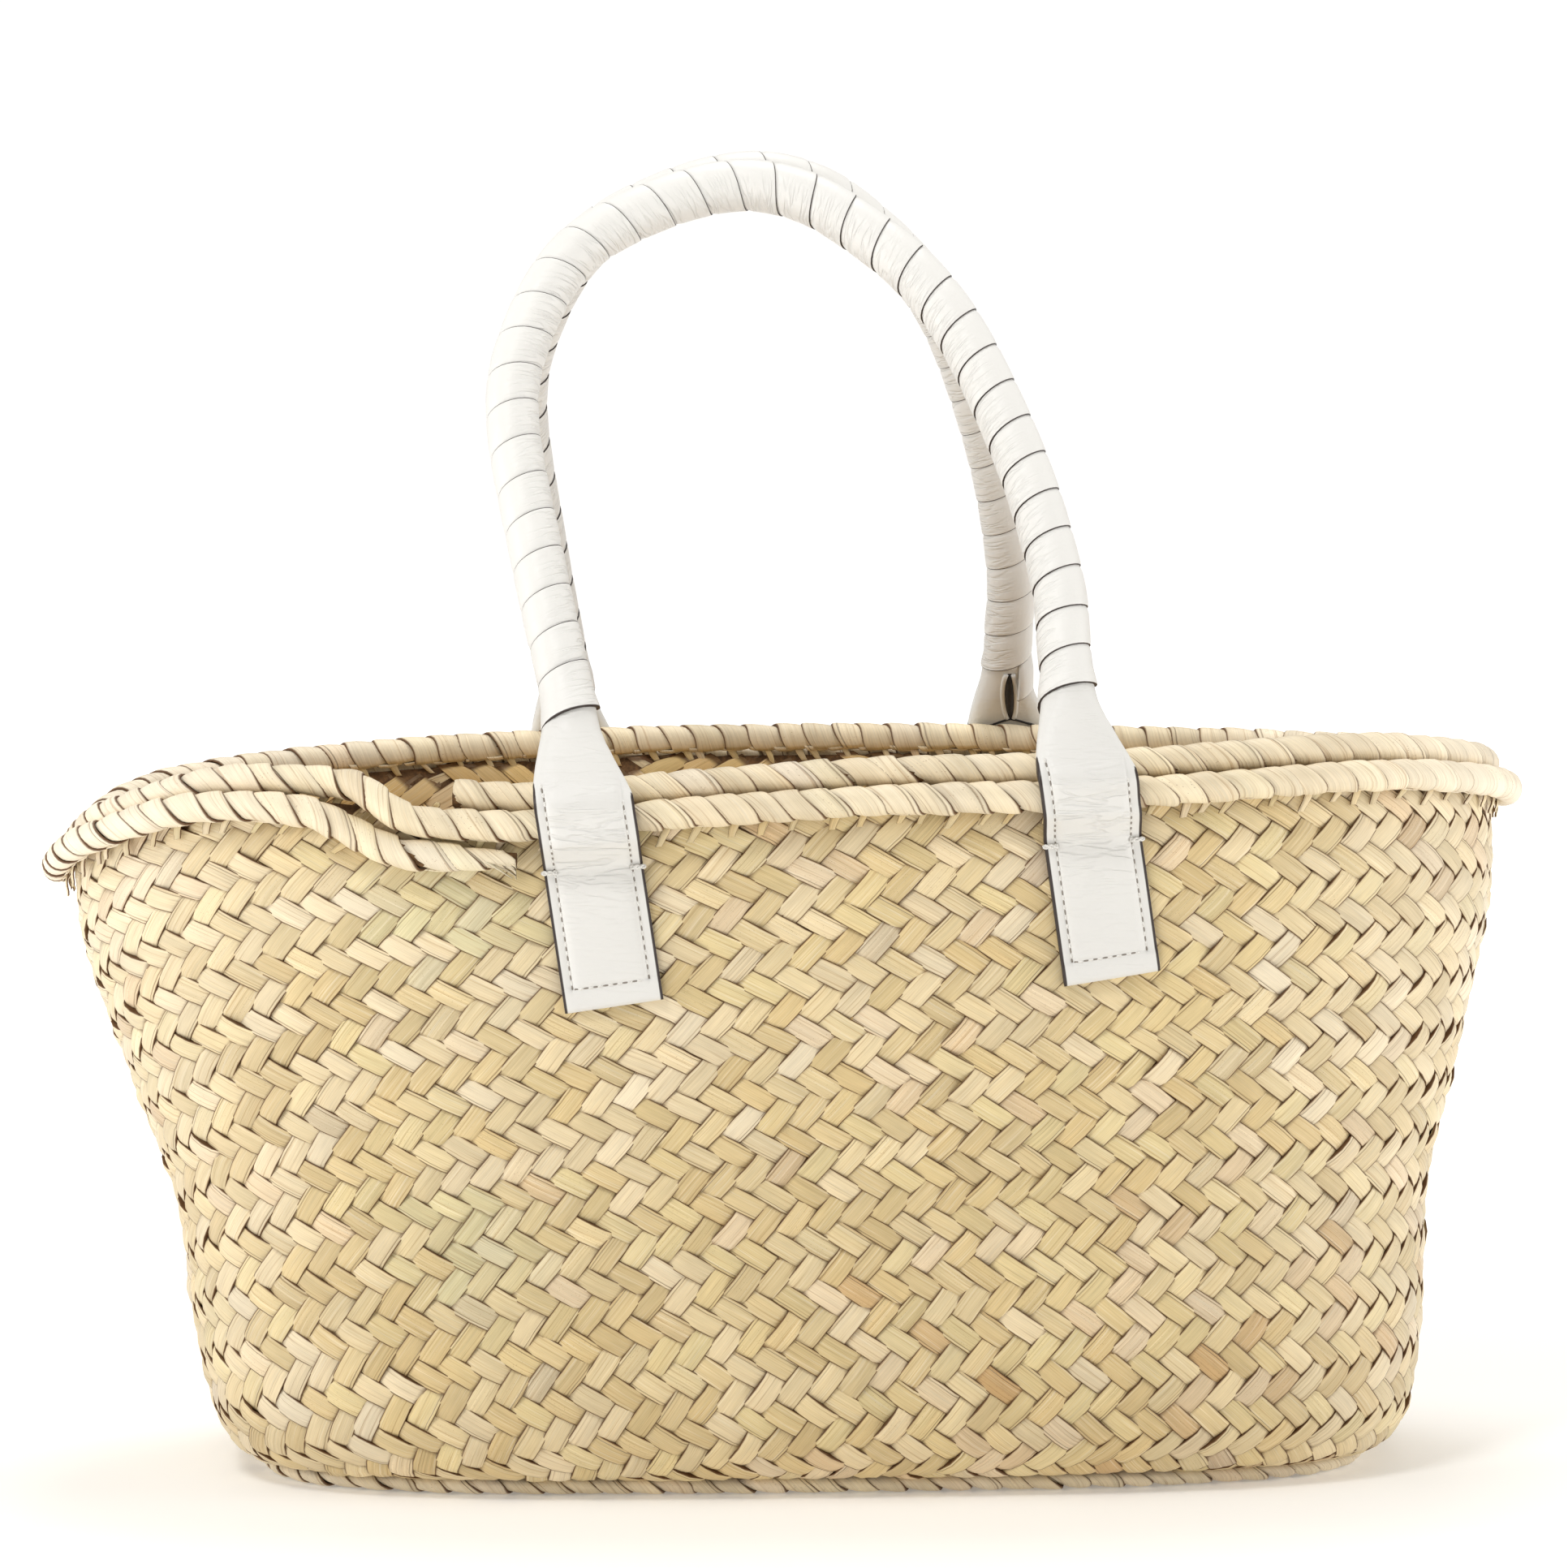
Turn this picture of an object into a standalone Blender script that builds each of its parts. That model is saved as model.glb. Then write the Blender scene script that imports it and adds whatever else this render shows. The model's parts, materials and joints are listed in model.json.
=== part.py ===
# Oval palm-leaf basket with two wrapped leather handles. Metres, +Z up.
# The origin is on the floor under the middle of the rim. +X runs along the basket to its
# right end, and the front handle is on the -Y side.
import math
from functools import lru_cache

import bmesh
import bpy
import numpy as np
from mathutils import Matrix, Vector

GAP = 0.0003                    # air between neighbouring solids

# Plaited body, measured on the outer face of the wall
RIM_HALF_LENGTH = 0.2735
RIM_HALF_DEPTH = 0.122
RIM_HEIGHT = 0.280              # top of the rim roll, before the rim line below
RIM_SQUARENESS = 2.5            # exponent of the oval in plan
BASE_HALF_LENGTH = 0.216
BASE_HALF_DEPTH = 0.088
BASE_SQUARENESS = 3.4
BASE_SHIFT = 0.011              # the base stands a little right of the rim
WALL_THICKNESS = 0.004
WALL_TURNS = 4                  # turns of the plaited strip, sewn edge to edge
AROUND = 64                     # points round the oval
OVAL_SAMPLES = 721              # points that an oval's outline is measured with
ROWS_PER_TURN = 3
BOTTOM_TURN = 0.04              # share of the outline that lies flat, edge to edge with the base

# How far the body has opened from base to rim, from the bottom up:
# share of the height, share of the growth in length, share of the growth in depth
BODY_SWELL = [
    (0.000, 0.00, 0.00),
    (0.009, 0.10, 0.16),
    (0.040, 0.21, 0.38),
    (0.095, 0.29, 0.56),
    (0.210, 0.37, 0.70),
    (0.400, 0.45, 0.80),
    (0.580, 0.68, 0.89),
    (0.830, 0.96, 0.98),
    (1.000, 1.00, 1.00),
]

# The rim line rises and falls: angle round from the right end, height over RIM_HEIGHT
RIM_LINE = [
    (0, -0.007), (30, -0.003), (57, -0.001), (90, 0.000), (118, -0.004), (148, -0.015),
    (180, -0.034), (207, -0.019), (226, -0.005), (248, -0.011), (262, -0.006),
    (275, -0.002), (292, 0.000), (315, 0.005), (336, 0.000),
]

# Leaf-wrapped rim roll: one roll that makes two turns, the second one outside and lower
ROLL_RADIUS = 0.00575
ROLL_SEAT = 0.0009              # air under the roll, which narrows where the rim line slopes
ROLL_DROP = 0.010               # second turn below the first
ROLL_START = -0.128             # x on the front where the first turn begins
ROLL_END = -0.101               # x on the front where the second turn ends
ROLL_CROSSING = 0.042           # length over which one turn gives way to the next
ROLL_TAIL_DROP = 0.012          # how far the tail sinks to let the next turn in
ROLL_SIDES = 8
CROSSING_MARKS = 8              # extra points where the turns cross

# The crossing in shares of its own length: where the first turn starts to swing out and the
# tail starts to sink, both before the start of a turn; then how long the swing takes, and
# where the first turn starts to sink outside the second
SWING_LEAD = 1.10
TAIL_LEAD = 1.25
SWING_SHARE = 0.85
SINK_FROM = 0.45

# Foot: a roll under the edge of the coiled base
FOOT_HEIGHT = 0.0067
FOOT_WIDTH = 0.010
FOOT_INSET = 0.007
FOOT_EDGE = 0.0015              # its flattened corners
BASE_THICKNESS = 0.004

# Leather tabs on the outside of the wall
TAB_WIDTH = 0.036
TAB_LENGTH = 0.074
TAB_LEATHER = 0.0014
TAB_RETURN_LEATHER = 0.0012
TAB_FILLER = 0.0012
TAB_FILLER_WIDTH = 0.028
TAB_RETURN_SHORTFALL = 0.012    # the folded-back layer stops below the hinge
TAB_SIDE_SHIFT = 0.011          # the foot of a tab lies this far right of its top
TAB_CENTRE_X = 0.011
TAB_SPACING = 0.182             # between the two tabs of one handle
BARTACK_DROP = 0.024            # below the hinge line
BARTACK_LENGTH = 0.005
BARTACK_RADIUS = 0.0007
BARTACK_SIDES = 8

# Where a tab has cross-sections, as shares of its length; the folded-back layer's end and two
# beside the bar tacks are added to them
TAB_LEVELS = [0.05, 0.22, 0.40, 0.56, 0.62, 0.74, 0.78, 0.88, 0.94, 1.00]
BESIDE_BARTACK = 0.015
TAB_FILLER_END = 0.90
TAB_FLAT_FROM = 0.85            # above this share the tab stands straight, in the hinge's plane
TAB_MITRE_FROM = 0.90           # above this share its end is cut to meet the leaning sleeve
TAB_RAMP_START = 0.012          # this far below the rim roll the tab leaves the wall
TAB_RAMP = 0.0125               # height in which it reaches the face of the roll

# Hinge line: where the leather bends at the rim
HINGE_BELOW_RIM = 0.009
FRONT_HINGE_SLOPE = math.radians(2.8)
BACK_HINGE_SLOPE = math.radians(1.2)

# Handles
TUBE_RADIUS = 0.010
WRAP_LEATHER = 0.0015
ARCH_HALF_SPAN = 0.091
ARCH_RISE = 0.218
ARCH_SHIFT = -0.003             # the arch sits left of the tabs' middle
SLEEVE_LENGTH = 0.042
SLEEVE_STRAIGHT = 0.010         # keeps the tab's width so far above the hinge
SLEEVE_LEVELS = [0.00, 0.12, 0.26, 0.40, 0.55, 0.70, 0.85, 1.00]    # cross-sections
SLEEVE_SIDES = 20
SLEEVE_SWELL = 1.8              # how late the sleeve thickens: the power of its height share
SLEEVE_CORNERS = 8.0            # squareness of its section at the hinge; 2 is round
TUBE_SIDES = 10
ARCH_SAMPLES = 31               # cross-sections of a handle's arch
HANDLES_APART = 0.0005          # between the two handles where they lean together

# Side-to-side and upward shares of the arch, from its left foot to its right foot
ARCH_SHAPE = [
    (-1.00, 0.00), (-1.03, 0.09), (-1.09, 0.26), (-1.17, 0.56), (-1.08, 0.735),
    (-0.87, 0.88), (-0.53, 0.965), (-0.18, 1.00), (0.10, 0.972), (0.33, 0.90),
    (0.55, 0.80), (0.73, 0.66), (0.91, 0.42), (1.00, 0.20), (1.00, 0.07), (1.00, 0.00),
]

TAB_STACK = TAB_RETURN_LEATHER + TAB_FILLER + TAB_LEATHER + 2 * GAP
WALL_BOTTOM = FOOT_HEIGHT + GAP
WALL_TOP = RIM_HEIGHT - 2 * ROLL_RADIUS - ROLL_SEAT
ROLL_OUT = ROLL_RADIUS + GAP                    # roll centre from the wall's outer face


def smooth(t):
    t = min(1.0, max(0.0, t))
    return t * t * (3.0 - 2.0 * t)


def mix(a, b, t):
    return a + (b - a) * t


def spline(points, samples):
    """Catmull-Rom curve through rows of numbers, sampled evenly between its points."""
    rows = [np.array(p, dtype=float) for p in points]
    rows = [2 * rows[0] - rows[1]] + rows + [2 * rows[-1] - rows[-2]]
    spans = len(rows) - 3
    out = []
    for i in range(samples):
        place = i / (samples - 1) * spans
        k = min(int(place), spans - 1)
        t = place - k
        a, b, c, d = rows[k:k + 4]
        out.append(0.5 * (2 * b + (c - a) * t + (2 * a - 5 * b + 4 * c - d) * t ** 2
                          + (3 * b - a - 3 * c + d) * t ** 3))
    return np.array(out)


@lru_cache(maxsize=None)
def oval(half_length, half_depth, squareness):
    """An oval's points and their shares of the way round, from the right end."""
    angle = np.linspace(0.0, 2.0 * math.pi, OVAL_SAMPLES)
    reach = (np.abs(np.cos(angle) / half_length) ** squareness
             + np.abs(np.sin(angle) / half_depth) ** squareness) ** (-1.0 / squareness)
    xs, ys = reach * np.cos(angle), reach * np.sin(angle)
    steps = np.hypot(np.diff(xs), np.diff(ys))
    shares = np.concatenate([[0.0], np.cumsum(steps)]) / steps.sum()
    return xs, ys, shares


def plan_point(half_length, half_depth, squareness, share):
    xs, ys, shares = oval(round(half_length, 6), round(half_depth, 6), round(squareness, 3))
    share = share % 1.0
    return float(np.interp(share, shares, xs)), float(np.interp(share, shares, ys))


@lru_cache(maxsize=None)
def rim_line_table():
    first = RIM_LINE[0]
    rows = RIM_LINE + [(first[0] + 360, first[1])]
    before = (RIM_LINE[-1][0] - 360, RIM_LINE[-1][1])
    after = (RIM_LINE[1][0] + 360, RIM_LINE[1][1])
    curve = spline([before] + rows + [after], 400)
    return curve[:, 0], curve[:, 1]


def rim_lift(x, y):
    """Height of the rim line at a plan position on or near the rim."""
    angle = math.degrees(math.atan2(y / RIM_HALF_DEPTH, x / RIM_HALF_LENGTH)) % 360.0
    angles, lifts = rim_line_table()
    return float(np.interp(angle, angles, lifts))


@lru_cache(maxsize=None)
def swell_table():
    """Height, length and depth shares along the wall's outline, evenly by its length."""
    curve = spline(BODY_SWELL, 240)
    rise = np.diff(curve[:, 0]) * (WALL_TOP - WALL_BOTTOM)
    out = np.diff(curve[:, 2]) * (RIM_HALF_DEPTH - BASE_HALF_DEPTH)
    along = np.concatenate([[0.0], np.cumsum(np.hypot(rise, out))])
    return along / along[-1], curve


def wall_section(v):
    """Half-length, half-depth, shift, squareness and height share at v up the wall."""
    along, curve = swell_table()
    height, longer, deeper = (float(np.interp(v, along, curve[:, k])) for k in range(3))
    return (mix(BASE_HALF_LENGTH, RIM_HALF_LENGTH, longer),
            mix(BASE_HALF_DEPTH, RIM_HALF_DEPTH, deeper),
            mix(BASE_SHIFT, 0.0, height),
            mix(BASE_SQUARENESS, RIM_SQUARENESS, height),
            height)


def wall_point(u, v, inward=0.0):
    """A point on the wall: u round it, v up it, inward from its outer face."""
    half_length, half_depth, shift, squareness, height = wall_section(v)
    low, high = wall_section(max(v - 0.01, 0.0)), wall_section(min(v + 0.01, 1.0))
    rise = (high[4] - low[4]) * (WALL_TOP - WALL_BOTTOM) * smooth(v / BOTTOM_TURN)
    flare = high[1] - low[1]
    slope = math.hypot(rise, flare)
    inset, lift = inward * rise / slope, inward * flare / slope
    x, y = plan_point(half_length - inset, half_depth - inset, squareness, u)
    z = mix(WALL_BOTTOM, WALL_TOP, height) + rim_lift(x, y) * height ** 2 + lift
    return Vector((x + shift, y, z))


def wall_depth(x, z, side):
    """Distance of the wall's outer face from the middle plane at (x, z)."""
    low, high = 0.0, 1.0
    for _ in range(24):
        v = 0.5 * (low + high)
        half_length, half_depth, shift, squareness, height = wall_section(v)
        along = min(abs(x - shift) / half_length, 0.999)
        depth = half_depth * (1.0 - along ** squareness) ** (1.0 / squareness)
        here = mix(WALL_BOTTOM, WALL_TOP, height) + rim_lift(x, side * depth) * height ** 2
        if here < z:
            low = v
        else:
            high = v
    return depth


def rim_share(x):
    """Share of the way round the rim at x on the front."""
    xs, ys, shares = oval(RIM_HALF_LENGTH, RIM_HALF_DEPTH, RIM_SQUARENESS)
    front = ys < 0
    order = np.argsort(xs[front])
    return float(np.interp(x, xs[front][order], shares[front][order]))


def add_object(name, bm, material, parent=None):
    bmesh.ops.remove_doubles(bm, verts=bm.verts, dist=1e-6)
    bmesh.ops.recalc_face_normals(bm, faces=bm.faces)
    mesh = bpy.data.meshes.new(name)
    bm.to_mesh(mesh)
    bm.free()
    mesh.shade_smooth()
    mesh.set_sharp_from_angle(angle=math.radians(40))
    mesh.materials.append(material)
    obj = bpy.data.objects.new(name, mesh)
    bpy.context.collection.objects.link(obj)
    if parent is not None:
        obj.parent = parent
    return obj


def skin(name, rings, material, parent=None, closed=False):
    """A solid through rings of points: closed like a tyre, or with a cap at each end."""
    bm = bmesh.new()
    loops = [[bm.verts.new(p) for p in ring] for ring in rings]
    count = len(loops[0])
    pairs = list(zip(loops, loops[1:]))
    if closed:
        pairs.append((loops[-1], loops[0]))
    for lower, upper in pairs:
        for i in range(count):
            j = (i + 1) % count
            bm.faces.new((lower[i], lower[j], upper[j], upper[i]))
    if not closed:
        bm.faces.new(loops[0])
        bm.faces.new(loops[-1])
    return add_object(name, bm, material, parent)


def make_material(name, colour, roughness):
    material = bpy.data.materials.new(name)
    material.use_nodes = True
    shader = material.node_tree.nodes["Principled BSDF"]
    shader.inputs["Base Color"].default_value = (*colour, 1.0)
    shader.inputs["Roughness"].default_value = roughness
    shader.inputs["Metallic"].default_value = 0.0
    material.diffuse_color = (*colour, 1.0)
    return material


def make_wall(palm):
    """Four turns of the plaited strip, each a closed band."""
    half_gap = GAP / (WALL_TOP - WALL_BOTTOM)       # in shares of the wall's height
    for turn in range(WALL_TURNS):
        bottom = turn / WALL_TURNS + (half_gap if turn else 0.0)
        top = (turn + 1) / WALL_TURNS - (half_gap if turn < WALL_TURNS - 1 else 0.0)
        levels = [mix(bottom, top, k / ROWS_PER_TURN) for k in range(ROWS_PER_TURN + 1)]
        faces = [(v, 0.0) for v in levels] + [(v, WALL_THICKNESS) for v in reversed(levels)]
        rings = [[wall_point(i / AROUND, v, inward) for i in range(AROUND)]
                 for v, inward in faces]
        skin(f"wall_turn_{turn + 1}", rings, palm, closed=True)


def make_base(palm):
    rings = []
    for z in (WALL_BOTTOM, WALL_BOTTOM + BASE_THICKNESS):
        ring = []
        for i in range(AROUND):
            x, y = plan_point(BASE_HALF_LENGTH - GAP, BASE_HALF_DEPTH - GAP,
                              BASE_SQUARENESS, i / AROUND)
            ring.append(Vector((x + BASE_SHIFT, y, z)))
        rings.append(ring)
    skin("base_coil", rings, palm)


def make_foot(palm):
    """A roll under the edge of the base, flattened where it stands."""
    half, edge = FOOT_WIDTH / 2, FOOT_EDGE
    section = [(-half + edge, 0.0), (half - edge, 0.0), (half, edge),
               (half, FOOT_HEIGHT - edge), (half - edge, FOOT_HEIGHT),
               (-half + edge, FOOT_HEIGHT), (-half, FOOT_HEIGHT - edge), (-half, edge)]
    rings = []
    for out, z in section:
        ring = []
        for i in range(AROUND):
            x, y = plan_point(BASE_HALF_LENGTH - FOOT_INSET + out,
                              BASE_HALF_DEPTH - FOOT_INSET + out, BASE_SQUARENESS, i / AROUND)
            ring.append(Vector((x + BASE_SHIFT, y, z)))
        rings.append(ring)
    skin("foot_ring", rings, palm, closed=True)


def roll_centre(w, start):
    """Centre of the rim roll w turns after its start on the front."""
    crossing = ROLL_CROSSING / oval_length()
    first = (w - (1.0 - SWING_LEAD * crossing)) / crossing
    second = (w - (2.0 - TAIL_LEAD * crossing)) / crossing
    corner = ROLL_RADIUS + ROLL_SEAT                # clear of the wall's top outer edge
    lean_in = -math.asin(0.5 * WALL_THICKNESS / corner)
    swing = mix(lean_in, math.pi / 2, smooth(first / SWING_SHARE))
    out = corner * math.sin(swing)
    sink = ROLL_DROP - corner
    sunk = smooth((first - SINK_FROM) / (1.0 - SINK_FROM))
    down = corner * (1.0 - math.cos(swing)) + sink * sunk
    down += ROLL_TAIL_DROP * smooth(second)
    x, y = plan_point(RIM_HALF_LENGTH + out, RIM_HALF_DEPTH + out, RIM_SQUARENESS, start + w)
    return Vector((x, y, RIM_HEIGHT + rim_lift(x, y) - ROLL_RADIUS - down))


def oval_length():
    xs, ys, _ = oval(RIM_HALF_LENGTH, RIM_HALF_DEPTH, RIM_SQUARENESS)
    return float(np.hypot(np.diff(xs), np.diff(ys)).sum())


def make_rim(palm):
    """The leaf-wrapped roll as one solid: first turn on the wall's edge, second outside."""
    start = rim_share(ROLL_START)
    turns = 2.0 + (rim_share(ROLL_END) - start) % 1.0
    crossing = ROLL_CROSSING / oval_length()
    marks = [k / AROUND - start for k in range(4 * AROUND)]     # beside the wall's own points
    for centre in (1.0, 2.0):
        marks += [centre - crossing * mix(1.2, 0.0, k / CROSSING_MARKS)
                  for k in range(CROSSING_MARKS + 1)]
    least = 0.1 / AROUND                            # no two rings closer than this
    marks = [0.0] + sorted(m for m in marks if least < m < turns - least) + [turns]
    marks = [m for k, m in enumerate(marks) if k == 0 or m - marks[k - 1] > least]
    centres = [roll_centre(w, start) for w in marks]
    rings = []
    for k, centre in enumerate(centres):
        along = (centres[min(k + 1, len(centres) - 1)] - centres[max(k - 1, 0)]).normalized()
        outward = along.cross(Vector((0, 0, 1))).normalized()
        upward = outward.cross(along).normalized()
        rings.append([centre + ROLL_RADIUS * (math.cos(a) * outward + math.sin(a) * upward)
                      for a in (2 * math.pi * i / ROLL_SIDES for i in range(ROLL_SIDES))])
    skin("rim_roll", rings, palm)


def hinge_depth():
    """Distance of the hinge line from the middle plane: the outer face of the tabs."""
    inner_edge = TAB_SPACING / 2 - TAB_WIDTH / 2 - TAB_CENTRE_X
    along = inner_edge / RIM_HALF_LENGTH
    wall = RIM_HALF_DEPTH * (1.0 - along ** RIM_SQUARENESS) ** (1.0 / RIM_SQUARENESS)
    return wall + 2 * ROLL_OUT + GAP + TAB_STACK


def hinge_height(side):
    """Height of the hinge line at the middle of the two tabs."""
    lifts = [rim_lift(TAB_CENTRE_X + s * TAB_SPACING / 2, side * RIM_HALF_DEPTH) for s in (-1, 1)]
    return RIM_HEIGHT + sum(lifts) / 2 - HINGE_BELOW_RIM


def lean_angle():
    """Lean at which the tops of the two handles rest on each other."""
    reach = SLEEVE_LENGTH + ARCH_RISE
    travel = hinge_depth() - TUBE_RADIUS - HANDLES_APART / 2
    return (math.asin(travel / math.hypot(reach, TUBE_RADIUS))
            - math.atan2(TUBE_RADIUS, reach))


def handle_frame(side, slope):
    """Places (across, inward, up) of a handle in the world, about its hinge's middle."""
    place = Matrix.Rotation(-slope, 4, "Y") @ Matrix.Rotation(side * lean_angle(), 4, "X")
    return lambda across, inward, up: place @ Vector((across, -side * inward, up))


def make_tube(frame, radius, path, bore=None):
    """Rings of a tube along the arch; with a bore, the inner face comes back again."""
    outer, inner = [], []
    for k, (across, up) in enumerate(path):
        if 0 < k < len(path) - 1:
            step = np.array(path[k + 1]) - np.array(path[k - 1])
        else:
            step = np.array((0.0, 1.0 if k == 0 else -1.0))
        step /= np.hypot(*step)
        normal = (step[1], -step[0])
        for size, rings in ((radius, outer), (bore, inner)):
            if size is None:
                continue
            ring = []
            for i in range(TUBE_SIDES):
                a = 2 * math.pi * i / TUBE_SIDES
                ring.append(frame(across + size * math.cos(a) * normal[0],
                                  TUBE_RADIUS + size * math.sin(a),
                                  up + size * math.cos(a) * normal[1]))
            rings.append(ring)
    return outer + inner[::-1]


def make_sleeve(name, frame, top_x, foot_x, leather, parent):
    """The flare between the flat tab and the round handle."""
    mitre = math.tan(lean_angle() / 2)
    straight = SLEEVE_STRAIGHT / SLEEVE_LENGTH
    round_radius = TUBE_RADIUS - GAP
    rings = []
    for k in SLEEVE_LEVELS:
        up = k * SLEEVE_LENGTH
        narrowing = smooth((k - straight) / (1.0 - straight))
        half_width = mix(TAB_WIDTH / 2, round_radius, narrowing)
        thickness = mix(TAB_STACK, 2 * round_radius, k ** SLEEVE_SWELL)
        power = 2.0 / mix(SLEEVE_CORNERS, 2.0, smooth(k * 1.1))     # round just below the top
        middle = mix(top_x, foot_x, smooth(k))
        ring = []
        for i in range(SLEEVE_SIDES):
            a = 2 * math.pi * (i + 0.5) / SLEEVE_SIDES
            c, s = math.cos(a), math.sin(a)
            across = middle + half_width * math.copysign(abs(c) ** power, c)
            inward = thickness / 2 * (1.0 + math.copysign(abs(s) ** power, s)) + GAP * k
            cut = (GAP / 2 + inward * mitre) * (1.0 - smooth(4 * k))    # gone a quarter up
            ring.append(frame(across, inward, up + cut))
        rings.append(ring)
    skin(name, rings, leather, parent)


class Tab:
    """Places points of one tab on the wall: across it, up from its fold, out of the wall."""

    def __init__(self, side, top_x, slope):
        self.side = side
        self.slope = slope
        self.top = (top_x, hinge_height(side) + (top_x - TAB_CENTRE_X) * math.tan(slope))
        self.bottom = (top_x + TAB_SIDE_SHIFT, self.top[1] - TAB_LENGTH)
        self.lean = math.atan2(TAB_SIDE_SHIFT, TAB_LENGTH)

    def place(self, across, up, out):
        share = up / TAB_LENGTH
        tilt = mix(self.lean, self.slope, smooth(share))
        x = mix(self.bottom[0], self.top[0], share) + across * math.cos(tilt)
        z = mix(self.bottom[1], self.top[1], share) + across * math.sin(tilt)
        roll_low = (RIM_HEIGHT + rim_lift(x, self.side * RIM_HALF_DEPTH)
                    - 2 * ROLL_RADIUS - ROLL_DROP)
        over_roll = 2 * ROLL_OUT * smooth((z - roll_low + TAB_RAMP_START) / TAB_RAMP)
        wall = wall_depth(x, min(z, WALL_TOP + rim_lift(x, self.side * RIM_HALF_DEPTH)), self.side)
        follow = wall + over_roll + GAP
        flat = hinge_depth() - TAB_STACK
        straight = smooth((share - TAB_FLAT_FROM) / (1.0 - TAB_FLAT_FROM))
        depth = mix(follow, flat, straight) + out
        mitre = (TAB_STACK - out) * math.tan(lean_angle() / 2) + GAP / 2
        cut = mitre * smooth((share - TAB_MITRE_FROM) / (1.0 - TAB_MITRE_FROM))
        return Vector((x, self.side * depth, z - cut))

    def ring(self, width, low, high):
        """A thin rectangle across the tab: low and high are (up, out) of its two faces."""
        steps = (-width / 2, 0.0, width / 2)
        return ([self.place(a, *high) for a in steps]
                + [self.place(a, *low) for a in reversed(steps)])


def make_tab(name, tab, leather, filler):
    """Leather strip folded under at the bottom, with a stiffener between its two layers."""
    last = 1.0 - TAB_RETURN_SHORTFALL / TAB_LENGTH
    tack = 1.0 - BARTACK_DROP / TAB_LENGTH
    levels = sorted(TAB_LEVELS + [tack - BESIDE_BARTACK, tack + BESIDE_BARTACK, last])
    outer_in = TAB_STACK - TAB_LEATHER
    rings = [tab.ring(TAB_WIDTH, (up * TAB_LENGTH, outer_in), (up * TAB_LENGTH, TAB_STACK))
             for up in reversed(levels)]
    fold = levels[0] * TAB_LENGTH
    half, core = TAB_STACK / 2, (outer_in - TAB_RETURN_LEATHER) / 2
    core_out = TAB_RETURN_LEATHER + core
    for degrees in (50, 0, -50):
        a = math.radians(degrees)
        rings.append(tab.ring(
            TAB_WIDTH,
            (fold - core * math.cos(a), core_out + core * math.sin(a)),
            (fold - half * math.cos(a), half + half * math.sin(a))))
    rings += [tab.ring(TAB_WIDTH, (up * TAB_LENGTH, TAB_RETURN_LEATHER), (up * TAB_LENGTH, 0.0))
              for up in levels if up <= last]
    skin(name, rings, leather)

    low, high = TAB_RETURN_LEATHER + GAP, outer_in - GAP
    rings = [tab.ring(TAB_FILLER_WIDTH, (up * TAB_LENGTH, low), (up * TAB_LENGTH, high))
             for up in levels if up < TAB_FILLER_END]
    skin(f"{name}_filler", rings, filler)


def make_bartacks(name, tab, thread):
    """Two short bars of thread that pin the tab's edges to the wall below the rim."""
    up = TAB_LENGTH - BARTACK_DROP
    for label, sign in (("left", -1), ("right", 1)):
        rings = []
        for share in (0.0, 0.5, 1.0):
            across = sign * (TAB_WIDTH / 2 - BARTACK_LENGTH * share)
            out = TAB_STACK + GAP + BARTACK_RADIUS
            ring = []
            for i in range(BARTACK_SIDES):
                a = 2 * math.pi * i / BARTACK_SIDES
                ring.append(tab.place(across, up + BARTACK_RADIUS * math.cos(a),
                                      out + BARTACK_RADIUS * math.sin(a)))
            rings.append(ring)
        skin(f"{name}_{label}_bartack", rings, thread)


def make_handle(label, side, slope, leather, rope, thread):
    hinge = bpy.data.objects.new(f"{label}_hinge", None)
    hinge.location = (TAB_CENTRE_X, side * hinge_depth(), hinge_height(side))
    bpy.context.collection.objects.link(hinge)
    frame = handle_frame(side, slope)

    shape = spline(ARCH_SHAPE, ARCH_SAMPLES)
    path = [(ARCH_SHIFT + ARCH_HALF_SPAN * across, SLEEVE_LENGTH + GAP + ARCH_RISE * up)
            for across, up in shape]
    inner = TUBE_RADIUS - WRAP_LEATHER
    skin(f"{label}_handle_rope_core", make_tube(frame, inner - GAP, path), rope, hinge)
    skin(f"{label}_handle_wrap", make_tube(frame, TUBE_RADIUS, path, inner), leather, hinge,
         closed=True)

    for where, sign in (("left", -1), ("right", 1)):
        top_x = sign * TAB_SPACING / 2
        foot_x = ARCH_SHIFT + sign * ARCH_HALF_SPAN
        name = f"{label}_{where}"
        make_sleeve(f"{name}_sleeve", frame, top_x, foot_x, leather, hinge)
        tab = Tab(side, TAB_CENTRE_X + top_x, slope)
        make_tab(f"{name}_tab", tab, leather, rope)
        make_bartacks(f"{name}_tab", tab, thread)


def main():
    for obj in list(bpy.data.objects):
        bpy.data.objects.remove(obj, do_unlink=True)
    palm = make_material("palm_leaf", (0.82, 0.72, 0.50), 0.62)
    rim_palm = make_material("rim_leaf", (0.80, 0.68, 0.46), 0.60)
    leather = make_material("white_leather", (0.88, 0.87, 0.85), 0.48)
    rope = make_material("cotton_rope", (0.75, 0.72, 0.66), 0.90)
    thread = make_material("white_thread", (0.86, 0.86, 0.84), 0.70)

    make_base(palm)
    make_foot(rim_palm)
    make_wall(palm)
    make_rim(rim_palm)
    make_handle("front", -1, FRONT_HINGE_SLOPE, leather, rope, thread)
    make_handle("back", 1, BACK_HINGE_SLOPE, leather, rope, thread)


main()
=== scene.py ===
import json
import math
from functools import lru_cache

import bmesh
import bpy
import numpy as np
from mathutils import Matrix, Vector

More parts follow.
